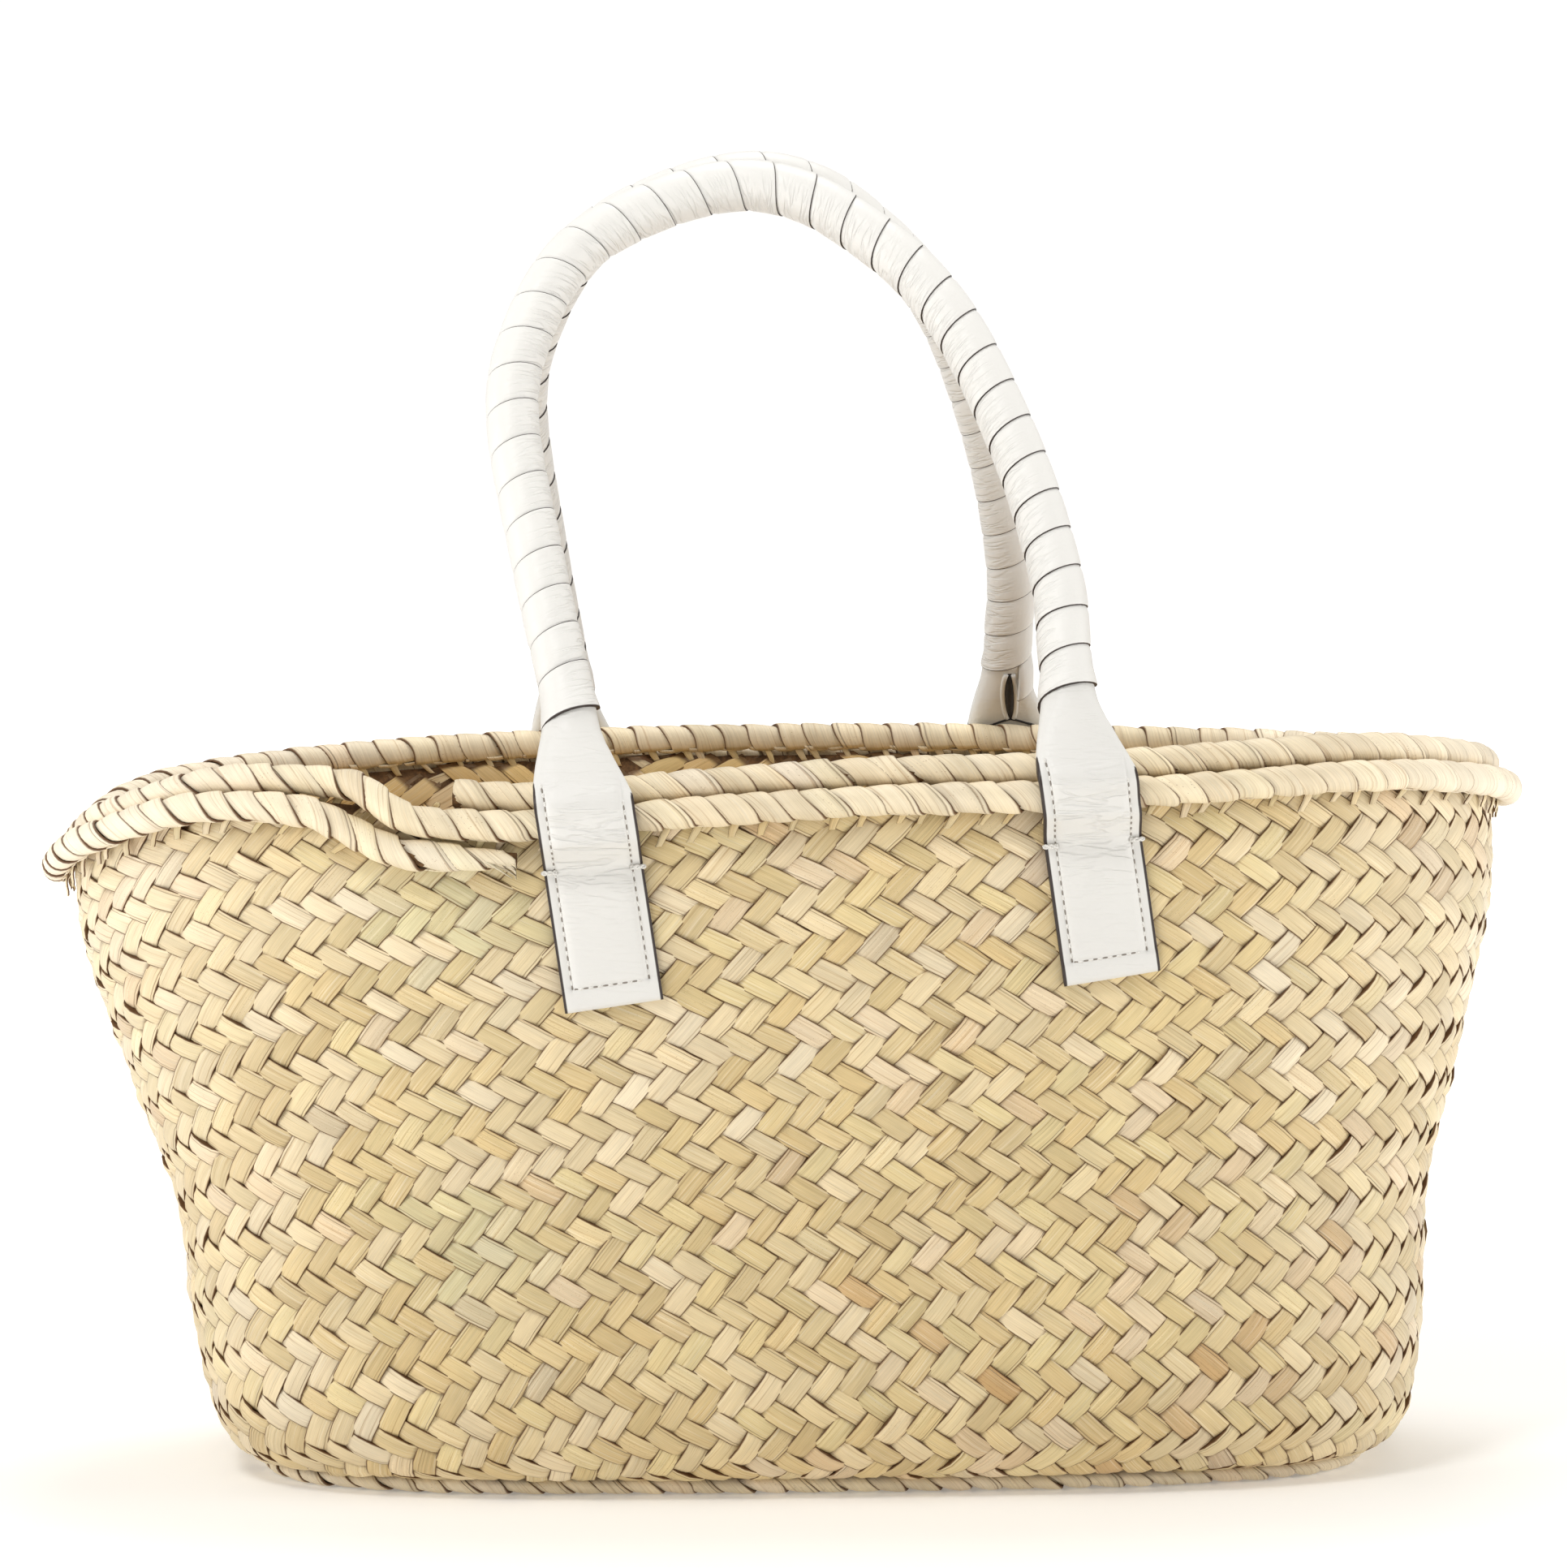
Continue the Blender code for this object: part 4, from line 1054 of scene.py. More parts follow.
# Centre of the rim roll w turns after its start on the front.
def rollCentre(w, start):
    crossing = rimRoll["crossing"] / oval(body["rimHalfLength"], body["rimHalfDepth"],
                                          body["rimSquareness"])[3]
    first = (w - (1.0 - 1.1 * crossing)) / crossing
    second = (w - (2.0 - 1.25 * crossing)) / crossing
    corner = rimRoll["radius"] + rimRoll["seat"]
    leanIn = -math.asin(0.5 * body["thickness"] / corner)
    swing = mix(leanIn, math.pi / 2, smooth(first / 0.85))
    out = corner * math.sin(swing)
    down = corner * (1.0 - math.cos(swing)) + (rimRoll["drop"] - corner) * smooth(
        (first - 0.45) / 0.55)
    down += rimRoll["tailDrop"] * smooth(second)
    x, y = planPoint(body["rimHalfLength"] + out, body["rimHalfDepth"] + out,
                     body["rimSquareness"], start + w)
    return Vector((x, y, body["rimHeight"] + rimLift(x, y) - rimRoll["radius"] - down))


def planNormal(point, exponent=2.5, halfLength=0.2735, halfDepth=0.122, shift=0.0):
    x, y = point[0] - shift, point[1]
    nx = math.copysign(abs(x / halfLength) ** (exponent - 1) / halfLength, x)
    ny = math.copysign(abs(y / halfDepth) ** (exponent - 1) / halfDepth, y)
    return Vector((nx, ny, 0)).normalized()


# Single leaves, each one turn of a helix whose loose edge faces onward.
def makeWrapShapes(name, radiusOut, radiusUp, pitch, overlap, leaf, slant, kinds, seed):
    group = shapeGroup(name)
    rng = np.random.default_rng(seed)
    columns = ((0.0, 0.0015), (0.2, 0.0008), (0.42, 0.0002), (0.66, -0.0002), (0.88, -0.0003),
               (0.97, -0.0001), (1.0, 0.0004))     # share across, how deep it lies
    for number in range(kinds):
        skew, wave, pinch = rng.uniform(-0.0012, 0.0012), rng.uniform(0, 6.28), rng.uniform(0, 1)
        rows, grain = [], []
        turns = 18
        for i in range(turns + 1):
            a = 2 * math.pi * (i / turns) * 1.03 - 2.6      # 0 is on top, then outward and down
            row = []
            tuck = 0.0007 * pinch * smooth((a - 1.0) / 1.2)
            for q, sink in columns:
                width = pitch * (1 + overlap)
                edge = 0.0005 * math.sin(2 * a + wave) if q > 0.8 else 0.0
                x = (q - 0.5) * width + pitch * a / (2 * math.pi) + skew * math.sin(a) + edge
                x += slant * smooth((a - 0.1) / 2.2)
                low = sink + tuck * math.sin(3 * q + wave) ** 2
                pair = []
                for depth in (0.0, leaf):
                    ry, rz = radiusOut - low - depth, radiusUp - low - depth
                    pair.append((x, ry * math.sin(a), -rz * math.cos(a)))
                row.append(tuple(pair))
                grain.append((a * radiusOut, q - 0.5))
            rows.append(row)
        closedStrip(f"{name}{number}", group, rows, grain)
    return group


def makeRim(along):
    start = rimShare(rimRoll["start"])
    turns = 2.0 + (rimShare(rimRoll["end"]) - start) % 1.0
    count = 1000
    points = [rollCentre(turns * k / count, start) for k in range(count + 1)]
    normals = [planNormal(p) for p in points]
    length = pathLength(points)
    girths = []
    for k in range(count + 1):
        left = (1 - k / count) * length
        girths.append(mix(0.55, 1.0, smooth(left / 0.035)))
    path = makePath("rimPath", points, normals, girths)
    core = makeTube("wrappedRim", points[::4], normals[::4],
                    [g * (rimRoll["radius"] - 0.0013) for g in girths[::4]], palmShade, 8)
    shapes = makeWrapShapes("rimWrap", rimRoll["radius"], rimRoll["radius"], rimRoll["pitch"],
                            rimRoll["overlap"], rimRoll["leaf"], rimRoll["slant"], 6, 4)
    runTree(core, along, {
        "Path": path, "Shapes": shapes, "Shape material": rimLeaf, "Kinds": 6,
        "Start": 0.0, "Pitch": rimRoll["pitch"], "Count": int(length / rimRoll["pitch"]),
        "Girth wobble": 0.035, "Turn wobble": 0.25, "Slide wobble": 0.0012, "Seed": 31})
    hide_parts("rim_roll")
    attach(core, "basket")
    dropObject(path, *shapes.objects)
    print("rim wrapped,", len(core.data.polygons), "faces")


ties = {
    "wide": 0.0036, "leaf": 0.00045, "tuck": 0.003, "bulge": 0.0011, "pitch": 0.0118,
    "start": 0.002, "kinds": 5, "belowRoll": 0.0004, "offRoll": 0.0046, "offInside": 0.0006,
    "outer": {"slant": -0.0055, "curl": 0.0006, "long": 0.0084, "taper": 0.25, "seed": 3},
    "inner": {"slant": 0.005, "curl": 0.0003, "long": 0.0084, "taper": 0.25, "seed": 8},
}
tail = {
    "turns": 0.014, "off": 0.0008, "pitch": 0.0021, "start": 0.001, "kinds": 6, "seed": 6,
    "curls": {"slant": 0.0125, "curl": 0.0032, "long": 0.0095, "taper": 0.7, "seed": 12},
}


# Ends of leaf that come out from under the rim roll: short, tapered, each a little bent.
def makeTieShapes(name, kinds, look):
    group = shapeGroup(name)
    rng = np.random.default_rng(look["seed"])
    for number in range(kinds):
        lean, bow, narrow = rng.uniform(0.5, 1.5), rng.uniform(-1, 1), rng.uniform(0.6, 1.1)
        reach = look["long"] * rng.uniform(0.72, 1.1)
        rows, grain = [], []
        for i in range(8):
            t = i / 7
            half = ties["wide"] / 2 * narrow * (1 - look["taper"] * smooth((t - 0.4) / 0.6))
            down = reach * t - ties["tuck"]
            out = ties["bulge"] * math.sin(math.pi * min(t * 1.1, 1.0)) + look["curl"] * t * t
            row = []
            for q in (-1.0, -0.5, 0.0, 0.5, 1.0):
                x = q * half + look["slant"] * lean * t + 0.0008 * bow * math.sin(3 * t)
                face = out + 0.0004 * (1 - q * q)
                row.append(((x, face, down), (x, face - ties["leaf"], down)))
                grain.append((down, q * 0.5))
            rows.append(row)
        closedStrip(f"{name}{number}", group, rows, grain)
    return group


def layTies(along, name, places, look, material, numbers):
    path = makePath("tiePath", [point for point, _ in places], [normal for _, normal in places])
    shapes = makeTieShapes(name + "Shape", numbers["Kinds"], look)
    blank = addObject(name, [], [])
    runTree(blank, along, {"Path": path, "Shapes": shapes, "Shape material": material, **numbers})
    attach(blank, "basket")
    dropObject(path, *shapes.objects)


def makeTies(along):
    start = rimShare(rimRoll["start"])
    outer, inner = [], []
    for k in range(501):
        point = rollCentre(1.0 + k / 500, start)
        normal = planNormal(point)
        below = Vector((0, 0, rimRoll["radius"] - ties["belowRoll"]))
        outer.append((point - below - normal * ties["offRoll"], normal))
        point = rollCentre(1.0 - k / 500 * 0.985, start)
        normal = planNormal(point)
        point.z = (body["rimHeight"] + rimLift(point.x, point.y) - 2 * rimRoll["radius"]
                   + 0.0002)
        inner.append((point - normal * ties["offInside"], -normal))
    for name, places in (("outer", outer), ("inner", inner)):
        look = ties[name]
        layTies(along, name + "Ties", places, look, palmLeaf, {
            "Kinds": ties["kinds"], "Start": ties["start"], "Pitch": ties["pitch"],
            "Count": int(pathLength([point for point, _ in places]) / ties["pitch"]) - 1,
            "Girth wobble": 0.12, "Slide wobble": 0.004, "Seed": look["seed"]})

    # the roll's tail, where it runs out beside the front left tab, ends in loose curls
    turns = 2.0 + (rimShare(rimRoll["end"]) - start) % 1.0
    points = [rollCentre(turns - tail["turns"] * (1 - k / 20), start) for k in range(21)]
    points = [point + planNormal(point) * tail["off"] for point in points]
    layTies(along, "frayedTail", [(point, planNormal(point)) for point in points],
            tail["curls"], rimLeaf, {
                "Kinds": tail["kinds"], "Start": tail["start"], "Pitch": tail["pitch"],
                "Count": int(pathLength(points) / tail["pitch"]) - 2,
                "Girth wobble": 0.3, "Turn wobble": 0.5, "Slide wobble": 0.001,
                "Seed": tail["seed"]})
    print("ties and tail made")


foot = {"height": 0.0067, "width": 0.010, "inset": 0.007, "pitch": 0.0115}


def makeFoot(along):
    halfLength = body["baseHalfLength"] - foot["inset"]
    halfDepth = body["baseHalfDepth"] - foot["inset"]
    count = 500
    points = []
    for k in range(count + 12):
        x, y = planPoint(halfLength, halfDepth, body["baseSquareness"], k / count + 0.02)
        points.append(Vector((x + body["baseShift"], y, foot["height"] / 2 + 0.0005)))
    normals = [planNormal(p, body["baseSquareness"], halfLength, halfDepth, body["baseShift"])
               for p in points]
    path = makePath("footPath", points, normals)
    core = makeTube("wrappedFoot", points[:count:4] + [points[count]],
                    normals[:count:4] + [normals[count]], [0.0022] * (count // 4 + 1), palmShade, 8)
    shapes = makeWrapShapes("footWrap", foot["width"] / 2, foot["height"] / 2, foot["pitch"],
                            0.28, 0.0004, 0.002, 4, 9)
    runTree(core, along, {
        "Path": path, "Shapes": shapes, "Shape material": rimLeaf, "Kinds": 4,
        "Start": 0.004, "Pitch": foot["pitch"],
        "Count": int(pathLength(points[:count]) / foot["pitch"]),
        "Girth wobble": 0.0, "Turn wobble": 0.2, "Slide wobble": 0.001, "Seed": 77})
    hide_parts("foot_ring")
    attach(core, "basket")
    dropObject(path, *shapes.objects)
    print("foot wrapped")


# The coiled bottom: the same plait, laid round the oval and closed along its middle.
def makeBase(shapes, tree):
    top = body["bottomZ"] + body["thickness"]

    def onBase(u, inset):
        x, y = planPoint(body["baseHalfLength"] - inset, body["baseHalfDepth"] - inset,
                         body["baseSquareness"], u)
        return Vector((x + body["baseShift"], y, top))

    def flatBase(u, inset):
        row = -inset / 0.0205
        return 2 * latticeStep * 74 * u, 4 * latticeStep * -row

    form = makeForm("baseForm", onBase, flatBase, np.linspace(-0.04, 1.04, 300),
                    np.linspace(0.0005, 0.0872, 40))
    ring = [onBase(i / 96, 0.0008) for i in range(96)]
    points = [p - Vector((0, 0, d)) for d in (0.0016, 0.0026) for p in ring]
    faces = [tuple(range(96)), tuple(range(191, 95, -1))]
    faces += [(96 + i, 96 + (i + 1) % 96, (i + 1) % 96, i) for i in range(96)]
    base = addObject("plaitedBase", points, faces, palmShade, smoothFaces=False)
    runTree(base, tree, {
        "Form": form, "Leaves": shapes, "Leaf material": palmLeaf,
        "Lattice step": latticeStep, "First column": -4, "Columns": 84,
        "First row": -1, "Rows": 7, "Lowest": 0.004, "Highest": 0.0866,
        "Thickness": body["thickness"], "Seed": 19})
    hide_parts("base_coil")
    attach(base, "basket")
    dropObject(form)
    print("base plaited")


# Leather.
leather = {
    "tabWidth": 0.036, "tabLength": 0.074, "stack": 0.0044, "sideShift": 0.011,
    "centreX": 0.011, "spacing": 0.182, "belowRim": 0.009,
    "slopes": {"front": math.radians(2.8), "back": math.radians(1.2)},
    "seam": 0.389, "crossSeam": 0.0083, "flangeDrop": 0.0013, "puff": 0.0005,
    "tackDrop": 0.024, "stitchPitch": 0.0036,
    "tubeRadius": 0.010, "halfSpan": 0.091, "rise": 0.218, "shift": -0.003,
    "sleeve": 0.042, "apart": 0.0005, "gap": 0.0003,
    "arch": [(-1, 0), (-1.03, .09), (-1.09, .26), (-1.17, .56), (-1.08, .735), (-.87, .88),
             (-.53, .965), (-.18, 1), (.10, .972), (.33, .90), (.55, .80), (.73, .66),
             (.91, .42), (1, .20), (1, .07), (1, 0)],
    "wrapPitch": 0.0157, "wrapOverlap": 0.20, "wrapThick": 0.0009, "overSleeve": 0.012,
    "wrapEndGirth": 1.17, "wrapEndPoints": 13, "seamTurn": 0.4,
    "sleeveSlack": 0.0006, "sleeveFill": 0.8,
}
rollOut = rimRoll["radius"] + leather["gap"]


def hingeDepth():
    inner = leather["spacing"] / 2 - leather["tabWidth"] / 2 - leather["centreX"]
    e = body["rimSquareness"]
    wall = body["rimHalfDepth"] * (1.0 - (inner / body["rimHalfLength"]) ** e) ** (1.0 / e)
    return wall + 2 * rollOut + leather["gap"] + leather["stack"]


def hingeHeight(side):
    lifts = [rimLift(leather["centreX"] + s * leather["spacing"] / 2,
                     side * body["rimHalfDepth"]) for s in (-1, 1)]
    return body["rimHeight"] + sum(lifts) / 2 - leather["belowRim"]


def leanAngle():
    reach = leather["sleeve"] + leather["rise"]
    radius = leather["tubeRadius"]
    travel = hingeDepth() - radius - leather["apart"] / 2
    return math.asin(travel / math.hypot(reach, radius)) - math.atan2(radius, reach)


# Places (across, inward, up) of a handle in the basket's own space.
def handlePlacer(side, slope):
    turn = Matrix.Rotation(-slope, 4, "Y") @ Matrix.Rotation(side * leanAngle(), 4, "X")
    foot = Vector((leather["centreX"], side * hingeDepth(), hingeHeight(side)))
    return lambda across, inward, up: foot + turn @ Vector((across, -side * inward, up))


# Places (across, up, out) of a tab on the wall and over the rim roll.
def tabPlacer(side, topX, slope):
    topZ = hingeHeight(side) + (topX - leather["centreX"]) * math.tan(slope)
    length, shift = leather["tabLength"], leather["sideShift"]
    lean = math.atan2(shift, length)

    def place(across, up, out):
        share = up / length
        tilt = mix(lean, slope, smooth(share))
        x = mix(topX + shift, topX, share) + across * math.cos(tilt)
        z = mix(topZ - length, topZ, share) + across * math.sin(tilt)
        lift = rimLift(x, side * body["rimHalfDepth"])
        rollLow = body["rimHeight"] + lift - 2 * rimRoll["radius"] - rimRoll["drop"]
        overRoll = 2 * rollOut * smooth((z - rollLow + 0.012) / 0.0125)
        follow = (wallDepth(x, min(z, body["topZ"] + lift), side) + overRoll + leather["gap"])
        flat = hingeDepth() - leather["stack"]
        depth = mix(follow, flat, smooth((share - 0.85) / 0.15)) + out
        return Vector((x, side * depth, z))
    return place


def archPath(placer):
    shape = spline(leather["arch"], 260)
    points = []
    for across, up in shape:
        points.append(placer(leather["shift"] + leather["halfSpan"] * across,
                             leather["tubeRadius"],
                             leather["sleeve"] + leather["gap"] + leather["rise"] * up))
    return points


def makeHandleWrap(label, side, along, material):
    placer = handlePlacer(side, leather["slopes"][label])
    arch = archPath(placer)
    over, lead = leather["overSleeve"], leather["halfSpan"]
    ends = {}
    for end in (-1, 1):     # down over each sleeve
        ends[end] = [placer(leather["shift"] + end * (lead - 0.0006 * k / 6),
                            leather["tubeRadius"], leather["sleeve"] - over * k / 6)
                     for k in range(1, 7)]
    points = ends[-1][::-1] + arch + ends[1]
    facing = placer(0, -1, 0) - placer(0, 0, 0)
    normals = []
    for k in range(len(points)):
        step = points[min(k + 1, len(points) - 1)] - points[max(k - 1, 0)]
        normals.append(facing.cross(step).normalized() * (-1 if side > 0 else 1) * -1)
    length = pathLength(points)
    last = len(points) - 1
    girths = [mix(leather["wrapEndGirth"], 1.0, smooth(min(k, last - k) / leather["wrapEndPoints"]))
              for k in range(last + 1)]
    path = makePath("handlePath", points, normals, girths)
    radius, thick = leather["tubeRadius"], leather["wrapThick"]
    width = leather["wrapPitch"] * (1 + leather["wrapOverlap"])
    turns = round((length - width) / leather["wrapPitch"])
    pitch = (length - width) / turns
    columns = ((0.0, 0.0018, 0), (0.06, 0.0014, 0), (0.17, 0.0006, 0), (0.30, 0.0001, 0),
               (0.60, 0.0, 0), (0.90, 0.0, 0), (0.968, 0.00005, 0), (1.0, 0.00022, 1))
    rows, grain, paint, crease = [], [], [], []
    segments = 26
    # its ends face the other handle
    start = math.pi / 2 if side < 0 else 1.5 * math.pi - leather["seamTurn"]
    for i in range(turns * segments + 1):
        a = 2 * math.pi * i / segments
        row = []
        first = 1 - smooth((i / segments - 0.85) / 0.15)   # the first turn shows both edges
        for q, sink, edge in columns:
            x = q * width + pitch * a / (2 * math.pi)
            pair = []
            for depth in (0.0, thick):
                r = radius - sink * (1 - first) - depth
                pair.append((x, r * math.cos(a + start), r * math.sin(a + start)))
            row.append(tuple(pair))
            grain.append((a * radius, q * width))
            paint.append(max(float(edge), first if q == 0.0 else 0.0))
            crease.append(0.05 + 0.75 * smooth(math.cos(a + start) * 0.9 + 0.25))
        rows.append(row)
    group = shapeGroup(f"{label}Strip")
    closedStrip(f"{label}StripShape", group, rows, grain,
                {"edgePaint": paint * 2, "creaseMask": crease * 2})
    blank = addObject(f"{label}HandleWrap", [], [])
    runTree(blank, along, {"Path": path, "Shapes": group, "Shape material": material,
                           "Kinds": 1, "Start": 0.0, "Pitch": 0.01, "Count": 1, "Seed": 3})
    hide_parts(f"{label}_handle_wrap")
    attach(blank, f"{label}_handle")
    dropObject(path, *group.objects)
    return blank


# Half the leather's width at share k of the sleeve; the right shoulder starts lower.
def sleeveHalfWidth(k, right):
    table = [(-1.0, 0.0180), (0.02, 0.0180), (0.14, 0.0176), (0.30, 0.0160), (0.48, 0.0136),
             (0.66, 0.0114), (0.82, 0.0102), (1.0, 0.0096), (1.2, 0.0088)]
    shares, widths = zip(*table)
    return float(np.interp(k + (0.04 if right else -0.12), shares, widths))


# Shares across the tab's face, closest at the stitched seam.
def tabAcross():
    half = [0.5, 0.490, 0.455, 0.418, 0.398, 0.389, 0.378, 0.350, 0.30, 0.22, 0.12]
    return half + [0.0] + [-t for t in reversed(half)]


# How deep the sleeve is at share k of its length.
def sleeveDepth(k):
    full = 2 * leather["tubeRadius"] - leather["sleeveSlack"]
    return mix(leather["stack"], full, min(max(k, 0.0), 1.0) ** leather["sleeveFill"])


# Tab and sleeve: one piece of leather from the fold at the wall to the wrapped handle.
def makeLeatherEnd(label, side, where, sign, material):
    slope = leather["slopes"][label]
    topX = sign * leather["spacing"] / 2
    footX = leather["shift"] + sign * leather["halfSpan"]
    onTab = tabPlacer(side, leather["centreX"] + topX, slope)
    onHandle = handlePlacer(side, slope)
    width, length, stack = leather["tabWidth"], leather["tabLength"], leather["stack"]
    seam = leather["seam"]
    outer = tabAcross()
    inner = [-0.5, -0.47, -0.3, -0.1, 0.1, 0.3, 0.47, 0.5]

    def outFace(t, g):
        inside = smooth((seam - abs(t)) / 0.055)
        crown = leather["puff"] * (1 - (t / 0.4) ** 2) if abs(t) < 0.4 else 0.0
        flange = stack - leather["flangeDrop"]
        out = mix(flange, stack - 0.0002 + crown, inside)
        out -= 0.00035 * math.exp(-((abs(t) - seam) / 0.010) ** 2)
        low = smooth((leather["crossSeam"] + 0.0006 - g) / 0.0016)
        out = mix(out, stack - 0.0002 - 0.0003 * smooth((abs(t) - 0.44) / 0.06), low)
        if abs(t) < 0.41:
            out -= 0.0006 * math.exp(-((g - leather["crossSeam"]) / 0.0007) ** 2)
        return out

    @lru_cache(maxsize=None)
    def ring(g, squeeze=None):
        k = (g - length) / leather["sleeve"]
        weight = smooth((g - (length - 0.007)) / 0.015)
        points, paints, creases = [], [], []
        for number, t in enumerate(outer + inner):
            front = number < len(outer)
            out = outFace(t, g) if front else 0.0
            if squeeze is not None:
                out = mix(stack / 2, out, squeeze)
            flat = onTab(t * width, g, out) if weight < 1 else None
            if weight > 0:
                halfWide = sleeveHalfWidth(k, t > 0)
                thick = sleeveDepth(k)
                power = 2.0 / mix(8.0, 2.0, smooth(k * 1.15))
                a = math.pi * (0.5 - t) if front else math.pi * (1.5 + t)
                c, s = math.cos(a), abs(math.sin(a))
                flatAcross = 2 * t
                across = mix(flatAcross, math.copysign(abs(c) ** power, c), smooth(k * 1.6))
                middle = mix(topX, footX, smooth(k))
                depth = thick / 2 * (1 - s ** power) if front else thick / 2 * (1 + s ** power)
                plain = (stack - outFace(t, g)) if front else thick
                depth = mix(plain, depth, smooth((k - 0.02) * 3.2))
                lifted = onHandle(middle + halfWide * across, depth, g - length)
            place = flat if weight <= 0 else lifted if weight >= 1 else flat.lerp(lifted, weight)
            points.append(place)
            shoulder = k + (0.04 if t > 0 else -0.12)
            paints.append((1.0 if abs(t) > 0.485 else 0.0) * (1 - smooth((shoulder - 0.10) / 0.1)))
            rim = math.exp(-((g - 0.058) / 0.017) ** 2)
            creases.append((0.10 + 0.9 * rim) * smooth((0.39 - abs(t)) / 0.05) + 0.04)
        return points, paints, creases

    stations = []
    for degrees in (12, 32, 52, 72):
        a = math.radians(degrees)
        stations.append((stack / 2 * (1 - math.cos(a)), math.sin(a)))
    stations += [(g / 1000, None) for g in (2.6, 4.5, 6.5, 7.6, 8.3, 9.0, 10.2, 14, 20, 26, 32,
                                            37, 41, 44, 46, 48, 50, 52, 54, 56, 58, 60, 62, 64,
                                            66, 68, 70, 72, 74, 76, 78, 80, 82, 84.5, 87, 90,
                                            93, 96.5, 100, 104, 108, 112, 115, 118, 121.5)]
    rings = [ring(g, squeeze) for g, squeeze in stations]
    n = len(outer) + len(inner)
    points = [p for r in rings for p in r[0]]
    faces = [(r * n + c, r * n + (c + 1) % n, (r + 1) * n + (c + 1) % n, (r + 1) * n + c)
             for r in range(len(rings) - 1) for c in range(n)]
    faces += [tuple(range(n)), tuple(range((len(rings) - 1) * n, len(rings) * n))[::-1]]
    piece = addObject(f"{label}{where.capitalize()}Leather", points, faces, material)
    addValues(piece, "edgePaint", "FLOAT", [v for r in rings for v in r[1]])
    addValues(piece, "creaseMask", "FLOAT", [v for r in rings for v in r[2]])
    outwards(piece)
    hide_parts(f"{label}_{where}_sleeve", f"{label}_{where}_tab")
    hinge = onHandle(topX, 0, 0)
    lowEnd, highEnd = hinge - Vector((0, 0, 0.005)), hinge + Vector((0, 0, 0.006))
    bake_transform(piece)
    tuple(lowEnd)
    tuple(highEnd)
    return ring, lowEnd, highEnd, onTab, piece


# Saddle stitches down both sides and across, each a short thread between two holes, the holes
# dark blobs of painted shade: length, width and height of each.
stitch = {"thread": (0.0022, 0.00050, 0.00050), "hole": (0.0022, 0.00042, 0.00024),
          "lift": 0.00012, "dip": 0.0002}


def makeStitches(label, side, where, ring, ends, along):
    length = leather["tabLength"]
    pitch = leather["stitchPitch"]
    threads, holes = shapeGroup("stitchShape"), shapeGroup("holeShape")
    for group, (long, wide, tall) in ((threads, stitch["thread"]), (holes, stitch["hole"])):
        bm = bmesh.new()
        bmesh.ops.create_uvsphere(bm, u_segments=8, v_segments=5, radius=1.0)
        for v in bm.verts:
            v.co = Vector((v.co.z * long / 2, v.co.x * tall, v.co.y * wide))
            if group is threads:
                v.co.y -= stitch["dip"] * (2 * v.co.x / long) ** 2
        mesh = bpy.data.meshes.new("stitch")
        bmesh.ops.recalc_face_normals(bm, faces=bm.faces)
        bm.to_mesh(mesh)
        bm.free()
        mesh.shade_smooth()
        group.objects.link(bpy.data.objects.new("stitch", mesh))

    def onFace(t, g):
        points = ring(g)[0]
        places = tabAcross()
        order = sorted(range(len(places)), key=lambda i: places[i])
        ts = [places[i] for i in order]
        return Vector([float(np.interp(t, ts, [points[i][axis] for i in order]))
                       for axis in range(3)])

    pieces = []
    seam = leather["seam"]
    heights = [leather["crossSeam"] + 0.002 * k for k in range(39)]
    lines = {
        "left": [(-seam, g) for g in heights if g < length + 0.012],
        "right": [(seam, g) for g in heights if g < length + 0.004],
        "cross": [(t, leather["crossSeam"]) for t in np.linspace(-seam + 0.02, seam - 0.02, 24)],
    }
    for name, places in lines.items():
        points, normals = [], []
        for t, g in places:
            here = onFace(t, g)
            a = onFace(t + 0.01, g) - onFace(t - 0.01, g)
            b = onFace(t, g + 0.001) - here
            normal = a.cross(b).normalized()
            if normal.y * side < 0:
                normal = -normal
            points.append(here)
            normals.append(normal)
        total = pathLength(points)
        count = int(total / pitch)
        points = [point + normal * stitch["lift"] for point, normal in zip(points, normals)]
        path = makePath("seam", points, normals)
        for kind, group, material, offset in (("Stitches", threads, whiteThread, 0.5),
                                              ("Holes", holes, needleHole, 0.0)):
            blank = addObject(f"{label}{where.capitalize()}{name.capitalize()}{kind}", [], [])
            runTree(blank, along, {"Path": path, "Shapes": group, "Shape material": material,
                                   "Kinds": 1, "Start": (offset + 0.2) * pitch,
                                   "Pitch": pitch, "Count": count, "Turn wobble": 0.0,
                                   "Slide wobble": 0.0002, "Seed": 5})
            pieces.append(blank)
        dropObject(path)
    dropObject(*threads.objects, *holes.objects)
    for kind, same in (("Stitches", pieces[0::2]), ("Holes", pieces[1::2])):
        joined = joinObjects(f"{label}{where.capitalize()}{kind}", same)
        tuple(ends[0])
        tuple(ends[1])
        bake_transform(joined)


def joinObjects(name, objects):
    bm = bmesh.new()
    for obj in objects:
        bm.from_mesh(obj.data)
    mesh = bpy.data.meshes.new(name)
    bm.to_mesh(mesh)
    bm.free()
    for material in objects[0].data.materials:
        mesh.materials.append(material)
    mesh.shade_smooth()
    joined = bpy.data.objects.new(name, mesh)
    bpy.context.scene.collection.objects.link(joined)
    dropObject(*objects)
    return joined


slit = {
    "low": 0.0170, "high": 0.0420, "half": 0.0022, "edge": 0.0011, "apart": 0.0027,
    "slitSunk": 0.0008, "edgeSunk": 0.0003, "tentReach": 0.0135, "tentDrop": 0.0062,
    "tentLine": 0.00055,
}
